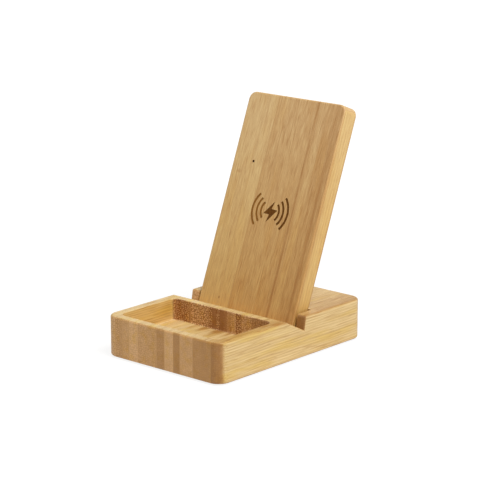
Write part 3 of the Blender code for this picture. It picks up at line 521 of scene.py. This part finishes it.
# each plain material: grit in mm (coarser than a real one that is too fine to show), dark and light colour,
# least and most roughness, its relief's strength and depth in mm, and numbers for the shader
plainLooks = {
    # soft dull black with a fine pebble
    "silicone rubber, moulded": (0.5, "#1C1B1A", "#2B2A28", (0.62, 0.8), 0.3, 0.05, {"IOR": 1.43}),
    # bright grey with a faint mottle
    "steel, cold-headed and zinc plated": (
        0.3, "#A9A9A6", "#C9CACA", (0.28, 0.42), 0.1, 0.02, {"Metallic": 1.0},
    ),
    # smooth and bright, as a receptacle's shell
    "stainless steel, pressed": (0.8, "#B8B7B3", "#D3D2CE", (0.18, 0.3), 0.08, 0.02, {"Metallic": 1.0}),
    # dull black
    "nylon, moulded black": (0.25, "#161617", "#232324", (0.45, 0.6), 0.15, 0.02, {"IOR": 1.53}),
    # dark when nothing shines through it
    "acrylic, smoked and turned": (0.6, "#120B06", "#1C120B", (0.3, 0.4), 0.05, 0.01, {"IOR": 1.49}),
    # warm red metal under clear enamel
    "copper strand, enamelled": (
        0.4, "#B5653A", "#D08A55", (0.25, 0.4), 0.1, 0.02,
        {"Metallic": 1.0, "Coat Weight": 0.5, "Coat Roughness": 0.15},
    ),
    # charcoal with open cells
    "polyurethane foam, cut": (0.6, "#1F1F20", "#38383A", (0.85, 0.95), 0.8, 0.25, {"IOR": 1.45}),
    # clear amber film
    "polyimide tape, coated": (3.0, "#B9781F", "#CC8D33", (0.2, 0.32), 0.1, 0.03, {"IOR": 1.7}),
    # dark grey, faintly grainy
    "ferrite, sintered": (0.35, "#2B2C2E", "#3D3F42", (0.5, 0.65), 0.25, 0.03, {"IOR": 2.2}),
    # matt black, as a chip's body
    "epoxy, transfer moulded": (0.15, "#19191B", "#27272A", (0.5, 0.65), 0.3, 0.01, {"IOR": 1.55}),
    # grey block of an inductor
    "iron powder, pressed": (0.2, "#3C3C3E", "#55565A", (0.6, 0.75), 0.3, 0.02, {"IOR": 1.8}),
    # milky white body of a diode
    "polyphthalamide, moulded white": (0.3, "#E3DFC8", "#F1EEDD", (0.35, 0.45), 0.1, 0.01, {"IOR": 1.6}),
}
(rubber, screwSteel, shellSteel, nylon, smokedAcrylic, enamelCopper, cutFoam, amberTape, sinteredFerrite,
 chipEpoxy, pressedIron, diodeBody) = (plainMaterial(name, *look) for name, look in plainLooks.items())
print("small materials mixed")


# the base: one milled block

base = {
    "width": 90.0, "depth": 128.1, "low": 0.8, "top": 25.3, "cornerRadius": 8.0, "edgeRadius": 1.4,
    "trayWidth": 77.2, "trayLength": 46.2, "trayMiddle": -35.05, "trayFloor": 12.1, "trayCorner": 4.2,
    "trayFloorRadius": 1.0, "trayLip": 0.7,
    "crease": -6.95, "rampSlope": radians(27.0), "creaseRadius": 2.5,
    "wallSetback": 1.0, "wallLean": radians(10.0), "lipRadius": 1.6, "grooveEndRadius": 1.0,
    "slotWidth": 77.4, "slotThickness": 12.9, "slotCorner": 0.4, "slotGap": 0.3, "plateThickness": 12.1,
    "footRadius": 4.5, "footThickness": 2.0, "footEdges": (0.4, 0.1), "footInset": 13.0, "footGap": 0.3,
    "overrun": 2.0,
}


def roundedCorner(before, corner, after, radius, steps=8):
    # arc from one side to the other: centre on the bisector, spokes turned evenly between the two ends
    corner = np.array(corner, float)
    sides = np.array([before, after], float) - corner
    sides /= np.linalg.norm(sides, axis=1)[:, None]
    halfAngle = acos(sides[0] @ sides[1]) / 2
    middle = sides.sum(0) / np.linalg.norm(sides.sum(0))
    centre = corner + middle * radius / sin(halfAngle)
    t = np.linspace(0, 1, steps + 1)[:, None]
    first, last = corner + sides * radius / tan(halfAngle) - centre
    sweep = pi - 2 * halfAngle
    spoke = first * np.sin((1 - t) * sweep) + last * np.sin(t * sweep)
    return centre + radius * spoke / np.linalg.norm(spoke, axis=1)[:, None]


def makeBase():
    # rounded block, less a groove (its side profile carried across), a tray, a leaning slot and foot recesses
    shape = base
    block = skin("bambooBase", [carry(
        roundedOutline(shape["width"], shape["depth"], shape["cornerRadius"], steps=16),
        uprightProfile(shape["low"], shape["top"], shape["edgeRadius"], shape["edgeRadius"], steps=8),
    )], bambooBlock, place=basePlace)

    # groove: ramp and rear wall meet at the depth where their slopes use up its width; flared at both sides
    lean, top = stand["lean"], shape["top"]
    crease, wallTop = (shape["crease"], top), (stand["plateFacePlace"] + shape["wallSetback"], top)
    depth = (wallTop[0] - crease[0]) / (1 / tan(shape["rampSlope"]) + tan(shape["wallLean"]))
    bottom = (crease[0] + depth / tan(shape["rampSlope"]), top - depth)
    far = shape["depth"] / 2
    front = roundedCorner((-far, top), crease, bottom, shape["creaseRadius"])
    rear = roundedCorner(bottom, wallTop, (far, top), shape["lipRadius"])
    front[:, 1] += surfaceLift * np.linspace(1, 0, len(front))
    rear[:, 1] += surfaceLift * np.linspace(0, 1, len(rear))
    above = np.array([(rear[-1, 0], top + shape["overrun"]), (front[0, 0], top + shape["overrun"])])
    side = np.concatenate([front, [bottom], rear, above])
    flare = pocketProfile(0.0, shape["width"] / 2, 0.0, shape["grooveEndRadius"], steps=8)[1:]
    across = np.concatenate([flare[::-1] * (1, -1), flare])
    groove = skin("groove", [carry(sharpOutline(side), across)], bambooBlock, acrossX, basePlace)

    trayMiddle = (0.0, shape["trayMiddle"])
    tray = skin("tray", [carry(
        roundedOutline(shape["trayWidth"], shape["trayLength"], shape["trayCorner"], 10, trayMiddle),
        pocketProfile(shape["trayFloor"], top, shape["trayFloorRadius"], shape["trayLip"]),
    )], bambooBlock, place=basePlace)

    slotEnd = stand["seatedLength"] + shape["plateThickness"] * tan(lean) + shape["overrun"]
    slot = skin("slot", [carry(
        roundedOutline(shape["slotWidth"], shape["slotThickness"], shape["slotCorner"], steps=4),
        uprightProfile(-shape["slotGap"], slotEnd),
    )], bambooBlock, rotationX(-lean), plateFoot + plateTurn @ np.array([0, 0, -shape["plateThickness"] / 2]))

    footX, footY = shape["width"] / 2 - shape["footInset"], shape["depth"] / 2 - shape["footInset"]
    footSpots = {
        (side, end): (x * footX, y * footY)
        for side, x in (("left", -1), ("right", 1)) for end, y in (("front", -1), ("rear", 1))
    }
    recesses = skin("recesses", [carry(
        circleOutline(shape["footRadius"] + shape["footGap"], middle=spot),
        uprightProfile(-shape["overrun"], shape["footThickness"] + shape["footGap"]),
    ) for spot in footSpots.values()], bambooBlock, place=basePlace)
    for (side, end), spot in footSpots.items():
        foot = skin(f"rubberFoot{side.title()}{end.title()}", [carry(
            circleOutline(shape["footRadius"], middle=spot),
            uprightProfile(0.0, shape["footThickness"], *shape["footEdges"]),
        )], rubber, place=basePlace)
        seat(soften(foot), "base", "foot_rubber", f"foot_{side}_{end}")
    carve(block, [(tool, cut) for tool in (groove, tray, slot, recesses)])
    seat(block, "base", "bamboo_block", "base_block")


makeBase()
print("base made")


# the plate: a hollow board with its cover, screws and burnt sign

plate = {
    "width": 74.6, "length": 140.0, "thickness": 12.1, "cornerRadius": 5.0, "edgeRadius": 1.1,
    "frontWall": 2.6, "sideWall": 6.2, "footSolid": 22.0, "pocketRadius": 3.0, "ledge": 2.8,
    "coverThickness": 3.0, "coverEdge": 0.4, "gap": 0.3,
    "bossRadius": 3.4, "bossInset": 2.7, "coverHole": 1.3, "holeSides": 20,
    "screwSink": 0.1, "screwLength": 7.5,
    "standoffRadius": 2.4, "boardHole": 1.1, "boardScrewAcross": 26.928, "boardScrewAlong": 11.3,
    "boardMiddle": 110.125, "boardDrop": 6.3, "boardScrewReach": 2.2,
    "lightPlace": (-21.4, 97.95), "lightHole": 0.7, "lightLip": 0.15,
    "inletLength": 13.2, "inletHeight": 7.4, "inletDepth": 4.3, "inletRadius": 3.0, "inletEdges": (0.3, 0.4),
    "portLength": 9.5, "portHeight": 3.8, "portRadius": 1.8, "overrun": 2.0,
}
plate["pocketWidth"] = plate["width"] - 2 * plate["sideWall"]
plate["pocketLength"] = plate["length"] - plate["sideWall"] - plate["footSolid"]
plate["pocketMiddle"] = plate["footSolid"] + plate["pocketLength"] / 2
plate["ledgeFace"] = -(plate["thickness"] - plate["coverThickness"]) + plate["gap"]
plate["coverScrews"] = [
    (x * (plate["pocketWidth"] / 2 - plate["bossInset"]),
     plate["pocketMiddle"] + y * (plate["pocketLength"] / 2 - plate["bossInset"]))
    for x in (-1, 1) for y in (-1, 1)
]
sign = {
    "middle": (0.4, 70.3), "radii": (6.85, 10.1, 13.6), "halfSpan": radians(44.0),
    "stroke": 1.45, "depth": 0.2, "waveSteps": 24,
    "bolt": [(2.7, 76.7), (-4.2, 68.5), (0.3, 68.4), (-0.9, 63.5), (5.9, 71.5), (1.4, 71.9)],
}


def onPlate(name, grids, material, turn=np.eye(3), place=(0.0, 0.0, 0.0)):
    # shapes in the plate's own frame: X across, Y up the plate, Z out of its front
    return skin(name, grids, material, plateTurn @ turn, plateFoot + plateTurn @ np.array(place))


def pocketOutline(margin, steps):
    # the pocket's rounded outline, moved outwards by a margin
    width, length = plate["pocketWidth"] + 2 * margin, plate["pocketLength"] + 2 * margin
    return roundedOutline(width, length, plate["pocketRadius"] + margin, steps, (0.0, plate["pocketMiddle"]))


def makeSign():
    # each wave is a ring's share between two radii; the bolt is its six corners
    level = uprightProfile(-sign["depth"], plate["overrun"])
    strokes = [carry(sharpOutline(sign["bolt"]), level)]
    span = np.linspace(-sign["halfSpan"], sign["halfSpan"], sign["waveSteps"] + 1)
    for middle in sign["radii"]:
        near, far = middle - sign["stroke"] / 2, middle + sign["stroke"] / 2
        for facing in (0.0, pi):
            outer = np.stack([np.cos(span + facing), np.sin(span + facing)], -1) * far
            wave = np.concatenate([outer, outer[::-1] * near / far]) + np.array(sign["middle"])
            strokes.append(carry(sharpOutline(wave), level))
    return onPlate("sign", strokes, scorched)


def makeShell():
    # rounded board, less its pocket and the cover's rebate, with bosses added and holes, inlet and sign cut
    shape = plate
    middle = (0.0, shape["length"] / 2)
    shell = onPlate("bambooPlate", [carry(
        roundedOutline(shape["width"], shape["length"], shape["cornerRadius"], 14, middle),
        uprightProfile(-shape["thickness"], 0.0, shape["edgeRadius"], shape["edgeRadius"], steps=8),
    )], bambooBoard)
    under, floor = -shape["thickness"] - shape["overrun"], -shape["frontWall"]
    pocket, rebate = (
        onPlate(name, [carry(pocketOutline(margin, 6), uprightProfile(under, top))], bambooBoard)
        for name, margin, top in (("pocket", 0.0, floor), ("rebate", shape["ledge"], shape["ledgeFace"]))
    )

    boardScrews = [(x * shape["boardScrewAcross"], shape["boardMiddle"] + y * shape["boardScrewAlong"])
                   for x in (-1, 1) for y in (-1, 1)]
    boardFront = -shape["boardDrop"]
    bosses, holes = [], []
    for spots, bossRadius, bossLow, holeRadius, holeHigh in (
        (shape["coverScrews"], shape["bossRadius"], shape["ledgeFace"], shape["coverHole"],
         -shape["thickness"] + shape["screwSink"] + shape["screwLength"] + shape["gap"]),
        (boardScrews, shape["standoffRadius"], boardFront + shape["gap"], shape["boardHole"],
         boardFront + shape["boardScrewReach"]),
    ):
        upright = uprightProfile(bossLow + surfaceLift, floor / 2)
        bore = uprightProfile(bossLow - shape["overrun"], holeHigh)
        for grids, radius, profile in ((bosses, bossRadius, upright), (holes, holeRadius, bore)):
            grids += [carry(circleOutline(radius, shape["holeSides"], spot), profile) for spot in spots]
    lightHole = onPlate("lightHole", [carry(
        circleOutline(shape["lightHole"], 32, shape["lightPlace"]),
        pocketProfile(floor - shape["overrun"], 0.0, 0.0, shape["lightLip"]),
    )], scorched)
    bosses = onPlate("bosses", bosses, bambooBoard)
    holes = onPlate("holes", holes, bambooBoard)

    # inlet: a rounded recess in the left edge, and the port through its floor
    inlet = (-shape["width"] / 2, shape["boardMiddle"], -shape["thickness"] / 2)
    recess = onPlate("recess", [carry(
        roundedOutline(shape["inletHeight"], shape["inletLength"], shape["inletRadius"], steps=8),
        pocketProfile(-shape["inletDepth"], 0.0, *shape["inletEdges"]),
    )], bambooBoard, outwardLeft, inlet)
    port = onPlate("port", [carry(
        roundedOutline(shape["portHeight"], shape["portLength"], shape["portRadius"], steps=8),
        uprightProfile(-shape["sideWall"] - shape["overrun"], -shape["inletDepth"] + shape["overrun"]),
    )], bambooBoard, outwardLeft, inlet)
    carve(shell, [
        (pocket, cut), (rebate, cut), (bosses, join), (holes, cut), (recess, cut), (port, cut),
        (lightHole, cut), (makeSign(), cut),
    ])
    seat(shell, "plate", "bamboo_plate", "plate_shell")


makeShell()
print("plate made, with its sign burnt in")

screw = {
    "headRadius": 2.1, "shankRadius": 1.0, "cone": 1.1, "length": 7.5, "edge": 0.15, "threadPitch": 0.9,
    "threadDepth": 0.18, "tipRadius": 0.35, "tipLength": 0.5, "sides": 32, "funnelSides": 40,
    "crossLength": 2.2, "crossWidth": 0.6, "crossDepth": 0.75, "crossTaper": 0.6, "overrun": 1.0,
}


def makeCover():
    # flat lid a gap smaller than its rebate, less a funnel round each screw
    shape = plate
    inner = -(shape["thickness"] - shape["coverThickness"])
    cover = onPlate("plateBack", [carry(
        pocketOutline(shape["ledge"] - shape["gap"], 10),
        uprightProfile(-shape["thickness"], inner, shape["coverEdge"], 0.0),
    )], bambooBoard)
    headLow = -shape["thickness"] + shape["screwSink"]
    headRadius, shankRadius = screw["headRadius"] + shape["gap"], screw["shankRadius"] + shape["gap"]
    funnel = np.array([
        (headRadius, headLow - shape["overrun"]), (headRadius, headLow),
        (shankRadius, headLow + screw["cone"]), (shankRadius, inner + shape["overrun"]),
    ])
    seats = [carry(circleOutline(0.0, screw["funnelSides"], spot), funnel) for spot in shape["coverScrews"]]
    carve(cover, [(onPlate("countersinks", seats, bambooBoard), cut)])
    seat(cover, "plate", "bamboo_plate", "back_cover")
    for number, spot in enumerate(shape["coverScrews"], start=1):
        makeScrew(number, spot, headLow)


def makeScrew(number, spot, headLow):
    # turned profile: a flat countersunk head, then a shank whose radius dips between its thread's crests
    tip = headLow + screw["length"]
    run = np.arange(headLow + screw["cone"], tip - screw["tipLength"], screw["threadPitch"] / 4)
    crest = screw["shankRadius"] - screw["threadDepth"] * (np.arange(len(run)) % 4 == 2)
    head = [(screw["headRadius"] - screw["edge"], headLow), (screw["headRadius"], headLow + screw["edge"])]
    profile = np.concatenate([head, np.stack([crest, run], -1), [(screw["tipRadius"], tip)]])
    outline = circleOutline(0.0, screw["sides"], spot)
    body = onPlate(f"coverScrew{number}", [carry(outline, profile)], screwSteel)
    # its cross: a quarter's three corners, turned three more times, and narrower at the bottom
    arm, waist = screw["crossLength"] / 2, screw["crossWidth"] / 2
    corners = [np.array([(arm, -waist), (arm, waist), (waist, waist)])]
    for turn in range(3):
        corners.append(corners[-1] @ np.array([[0, 1], [-1, 0]]))
    cross = np.concatenate(corners)
    bottom = (screw["crossTaper"], headLow + screw["crossDepth"])
    rings = np.stack([
        np.column_stack([cross * share + np.array(spot), np.full(len(cross), height)])
        for share, height in ((1.0, headLow - screw["overrun"]), (1.0, headLow), bottom)
    ])
    tool = onPlate(f"cross{number}", [rings], screwSteel)
    seat(carve(body, [(tool, cut)]), "plate", "screw_steel", f"cover_screw_{number}")


makeCover()
print("plate's back and its screws made")


# power inlet and status light

receptacle = {
    "length": 8.9, "height": 3.2, "radius": 1.5, "depth": 7.3, "wall": 0.3, "rolled": 0.12, "overrun": 1.0,
    "coreDepth": 1.4, "coreGap": 0.1, "tongueLength": 6.7, "tongueThickness": 0.7, "tongueReach": 0.9,
    "tongueCorner": 0.17, "tongueTip": 0.15,
}


def makeReceptacle():
    # an oval shell with a rolled mouth, less its bore, and in it a core with a flat tongue
    shape, rolled, tip = receptacle, receptacle["rolled"], receptacle["tongueTip"]
    inward = -plate["width"] / 2 + plate["inletDepth"] + plate["gap"]
    mouth = (inward, plate["boardMiddle"], -plate["thickness"] / 2)
    back, front = -shape["depth"], -shape["depth"] + shape["coreDepth"]
    tongueBack, tongueFront = front - shape["coreDepth"] / 2, back * (1 - shape["tongueReach"])
    height, length, radius = shape["height"], shape["length"], shape["radius"]
    outer, inner, moulded = (
        roundedOutline(height - 2 * inset, length - 2 * inset, radius - inset, steps=8)
        for inset in (0.0, shape["wall"], shape["wall"] + shape["coreGap"])
    )
    flat = roundedOutline(shape["tongueThickness"], shape["tongueLength"], shape["tongueCorner"], steps=4)
    shell, bore, core, tongue = (
        onPlate(name, [carry(outline, profile)], material, outwardLeft, mouth)
        for name, material, outline, profile in (
            ("receptacleShell", shellSteel, outer, uprightProfile(back, 0.0, 0.0, rolled, steps=3)),
            ("bore", shellSteel, inner, pocketProfile(back - shape["overrun"], 0.0, 0.0, rolled, steps=3)),
            ("receptacleTongue", nylon, moulded, uprightProfile(back, front)),
            ("tongue", nylon, flat, uprightProfile(tongueBack, tongueFront, 0.0, tip, steps=3)),
        )
    )
    seat(carve(shell, [(bore, cut)]), "plate", "receptacle_steel", "receptacle_shell")
    seat(carve(core, [(tongue, join)]), "plate", "receptacle_nylon", "receptacle_tongue")


light = {
    "radius": 0.4, "flangeRadius": 1.6, "flangeThickness": 0.6, "bodyTop": -5.0, "sides": 32,
    "dome": [(1.0, 0.12), (0.7, 0.036), (0.3, 0.0)],  # share of the radius, and how far below the tip
}


def makeLightGuide():
    # turned profile: a pin with a flange behind the plate's front wall and a slightly domed tip
    radius, flange = light["radius"], light["flangeRadius"]
    flangeFront = -plate["frontWall"] - plate["gap"]
    flangeBack = flangeFront - light["flangeThickness"]
    profile = np.array([
        (radius, light["bodyTop"]), (radius, flangeBack), (flange, flangeBack), (flange, flangeFront),
        (radius, flangeFront), *[(radius * share, -plate["gap"] - drop) for share, drop in light["dome"]],
    ])
    outline = circleOutline(0.0, light["sides"], plate["lightPlace"])
    guide = onPlate("lightGuide", [carry(outline, profile)], smokedAcrylic)
    seat(soften(guide), "plate", "guide_acrylic", "light_guide")


makeReceptacle()
makeLightGuide()
print("inlet and light guide made")


# coil and foam, inside the plate

coil = {
    "wire": 0.9, "outerRadius": 24.0, "turns": 9, "pitch": 1.4, "layerStep": 1.35, "tailRadius": 6.5,
    "level": -3.95, "padLevel": -5.55, "padReach": 29.2, "middle": 70.0,
    "strands": 5, "twist": 12.0, "strandShares": (0.93, 0.06), "pointStep": 0.7, "sides": 20,
    "leadInSteps": 24, "turnSteps": 180, "halfTurnSteps": 59, "leadOutSteps": 30,
}
foam = {"radius": 24.0, "front": -6.2, "back": -8.8, "bulge": 0.5, "sides": 72, "rimSteps": 10}


def ease(share):
    # slow start and slow end, by a cubic
    return share * share * (3 - 2 * share)


def coilPath():
    # lead in from the board, a flat spiral inwards (radius falls evenly with the angle), half a turn
    # down to the layer behind, and the lead back out; then points at even steps along the whole
    level, pad, tail = coil["level"], coil["padLevel"], coil["tailRadius"]
    outer = coil["outerRadius"] - coil["wire"] / 2
    inner = outer - coil["turns"] * coil["pitch"]
    under = level - coil["layerStep"]
    share = np.linspace(0, 1, coil["leadInSteps"], endpoint=False)
    leadIn = np.stack([
        outer + 0 * share, coil["padReach"] * (1 - share), pad + (level - pad) * ease(share),
    ], -1)
    angle = np.linspace(0, 2 * pi * coil["turns"], coil["turnSteps"] * coil["turns"])
    radius = outer - coil["pitch"] * angle / (2 * pi)
    spiral = np.stack([radius * np.cos(angle), -radius * np.sin(angle), level + 0 * angle], -1)
    half = np.linspace(0, 1, coil["halfTurnSteps"] + 1)[1:]
    radius = inner + (tail - inner) * ease(np.minimum(1, 2 * half))
    height = level + (under - level) * ease(np.maximum(0, 2 * half - 1))
    halfTurn = np.stack([radius * np.cos(pi * half), -radius * np.sin(pi * half), height], -1)
    share = np.linspace(0, 1, coil["leadOutSteps"] + 1)[1:]
    leadOut = np.stack([-tail + 0 * share, coil["padReach"] * share, under + (pad - under) * ease(share)], -1)
    path = np.concatenate([leadIn, spiral, halfTurn, leadOut]) + np.array([0, coil["middle"], 0])
    reach = np.concatenate([[0], np.cumsum(np.linalg.norm(np.diff(path, axis=0), axis=1))])
    even = np.linspace(0, reach[-1], int(reach[-1] / coil["pointStep"]))
    return np.stack([np.interp(even, reach, path[:, k]) for k in range(3)], -1), even


def makeCoil():
    # tube round the path whose radius swells and dips round it, turning as it runs, like twisted strands
    path, run = coilPath()
    ahead = np.gradient(path, axis=0)
    ahead /= np.linalg.norm(ahead, axis=1)[:, None]
    sideways = np.cross(ahead, [0, 0, 1.0])
    sideways /= np.linalg.norm(sideways, axis=1)[:, None]
    upward = np.cross(sideways, ahead)
    angle = np.linspace(0, 2 * pi, coil["sides"], endpoint=False)
    lobes = np.cos(coil["strands"] * (angle[None] - 2 * pi * run[:, None] / coil["twist"]))
    mean, swell = coil["strandShares"]
    radius = coil["wire"] / 2 * (mean + swell * lobes)
    spokes = np.cos(angle)[:, None] * sideways[:, None] + np.sin(angle)[:, None] * upward[:, None]
    rings = path[:, None] + radius[..., None] * spokes
    winding = onPlate("coilWinding", [rings], enamelCopper)
    seat(winding, "plate", "coil_copper", "coil_winding")


def makeFoam():
    # disc whose rim swells between its two faces by a half sine, with faces that sink a little at the rim
    height = np.linspace(0, 1, foam["rimSteps"] + 1)
    offset = foam["bulge"] * (np.sin(pi * height) - 1)
    wall = np.stack([offset, foam["back"] + (foam["front"] - foam["back"]) * height], -1)
    outline = circleOutline(foam["radius"], foam["sides"], (0.0, coil["middle"]))
    pad = onPlate("foamPad", [carry(outline, wall)], cutFoam)
    seat(soften(pad), "plate", "foam", "foam_pad")


makeCoil()
makeFoam()
print("coil and foam made")


# finishes of the parts that stay as they are

# glass-epoxy laminate under green mask: its weave shows through faintly, drawn coarser than real threads,
# which are too fine to show
board = {"thread": 1.776, "distortion": 0.6, "stops": [(0.2, "#155729"), (0.8, "#1B6534")]}
laminate, shader, add = newMaterial("glass-epoxy laminate, green mask", {"IOR": 1.55, "Roughness": 0.35})
place = add("TexCoord")
weave = add("TexWave", {
    "Vector": place.outputs["Object"], "Scale": pi / 10 / (board["thread"] * metre),
    "Distortion": board["distortion"],
})
setInputs(shader, {"Base Color": add("ValToRGB", (weave,), board["stops"])})

# ceramic capacitor, fired and dipped: tan body between two tinned ends
ceramic = {"bodyHalf": 0.34, "body": "#A98562", "tin": "#C9C8C2", "roughness": (0.45, 0.3)}
capacitor, shader, add = newMaterial("ceramic, fired, with tinned ends", {"IOR": 1.8})
place = add("TexCoord")
along = add("SeparateXYZ", (place.outputs["Generated"],))
fromMiddle = add("Math", (along.outputs["X"], 0.5), operation="SUBTRACT")
away = add("Math", (fromMiddle,), operation="ABSOLUTE")
tinned = add("Math", (away, ceramic["bodyHalf"]), operation="GREATER_THAN")
body = add("Mix", {0: tinned, 6: ceramic["body"], 7: ceramic["tin"]}, data_type="RGBA")
setInputs(shader, {
    "Base Color": body, "Metallic": tinned,
    "Roughness": add("MapRange", (tinned, 0.0, 1.0, *ceramic["roughness"])),
})

finishes = {
    "coil_tape": amberTape, "ferrite_shield": sinteredFerrite, "circuit_board": laminate,
    "board_screw": screwSteel, "controller_chip": chipEpoxy, "bridge_chip": chipEpoxy,
    "power_inductor": pressedIron,
    "input_capacitor": capacitor, "resonant_capacitor": capacitor, "status_led": diodeBody,
    "base_block": bambooBlock, "foot_": rubber, "plate_shell": bambooBoard, "back_cover": bambooBoard,
    "cover_screw": screwSteel, "coil_winding": enamelCopper, "foam_pad": cutFoam,
    "light_guide": smokedAcrylic, "receptacle_shell": shellSteel, "receptacle_tongue": nylon,
}
for name, node in nodes.items():
    finish = next(material for start, material in finishes.items() if name.startswith(start))
    node.data.materials.clear()
    node.data.materials.append(finish)
print("finishes set on the parts kept")


# floor, light and camera

studio = {
    "world": 0.34, "keyAim": (0.0, 0.0, 0.05), "keyDirection": (0.52, -0.09, 0.84), "keyDistance": 1.7,
    "keySize": 0.9, "keyPower": 23.3,
    "floorColour": "#F4F3F1", "floorHalf": 6000.0, "fadeStart": 0.16, "fadeEnd": 0.42,
    "whiteShare": 0.8, "whiteStrength": 1.1,
}
camera = {
    "place": (0.770628, -0.864228, 0.359273), "azimuth": radians(41.394),
    "elevation": radians(14.496), "roll": radians(0.046), "lens": 147.84, "sensor": 36.0,
    "clip": (0.05, 30.0),
}


def seenStraight(add):
    # 1 for a ray that comes from the camera, a mirror or glass: the greatest of the three
    ray = add("LightPath")
    sight = ray.outputs["Is Camera Ray"]
    for kind in ("Is Glossy Ray", "Is Transmission Ray"):
        sight = add("Math", (sight, ray.outputs[kind]), operation="MAXIMUM")
    return sight


def makeFloor():
    # one flat sheet; near the object it takes shadow, and further out it turns plain white for the camera
    material = bpy.data.materials.new("studio floor, painted white")
    add = emptyNodes(material)
    place = add("TexCoord")
    reach = add("VectorMath", (place.outputs["Object"],), operation="LENGTH")
    fade = add("MapRange", (reach, studio["fadeStart"], studio["fadeEnd"]), **smooth)
    share = add("MapRange", (fade, 0.0, 1.0, studio["whiteShare"], 1.0))
    paint = add("BsdfDiffuse", {"Color": studio["floorColour"]})
    white = add("Emission", {"Strength": studio["whiteStrength"]})
    seen = add("MixShader", (share, paint, white))
    add("OutputMaterial", (add("MixShader", (seenStraight(add), paint, seen)),))
    corners = np.array([(-1, -1, 0), (1, -1, 0), (1, 1, 0), (-1, 1, 0)]) * studio["floorHalf"]
    newPiece("floor", corners, [(0, 1, 2, 3)], material)


def makeLight():
    # an even white surround, plain white where it is seen, and one round soft box above, to the right
    world = bpy.data.worlds.new("studio")
    add = emptyNodes(world)
    strength = add("MapRange", (seenStraight(add), 0.0, 1.0, studio["world"], 1.0))
    air = add("Background", {"Color": (1.0, 1.0, 1.0, 1.0), "Strength": strength})
    add("OutputWorld", (air,))
    bpy.context.scene.world = world

    lamp = bpy.data.lights.new("soft box", "AREA")
    lamp.shape, lamp.size, lamp.energy = "DISK", studio["keySize"], studio["keyPower"]
    box = addObject("soft box", lamp)
    aim = Vector(studio["keyDirection"]).normalized()
    box.location = Vector(studio["keyAim"]) + aim * studio["keyDistance"]
    box.rotation_euler = aim.to_track_quat("Z", "Y").to_euler()


def makeCamera():
    # looks back along its azimuth and elevation: right, up and back are its three axes, then rolled
    data = bpy.data.cameras.new("camera")
    data.lens, data.sensor_width = camera["lens"], camera["sensor"]
    data.clip_start, data.clip_end = camera["clip"]
    view = addObject("camera", data)
    turn, rise = camera["azimuth"], camera["elevation"]
    right = Vector((cos(turn), sin(turn), 0.0))
    back = Vector((sin(turn) * cos(rise), -cos(turn) * cos(rise), sin(rise)))
    axes = Matrix((right, back.cross(right), back)).transposed()
    rolled = axes @ Matrix.Rotation(camera["roll"], 3, "Z")
    view.matrix_world = Matrix.Translation(camera["place"]) @ rolled.to_4x4()
    bpy.context.scene.camera = view


makeFloor()
makeLight()
makeCamera()
bpy.context.scene.view_settings.view_transform = "Standard"
print("studio set")
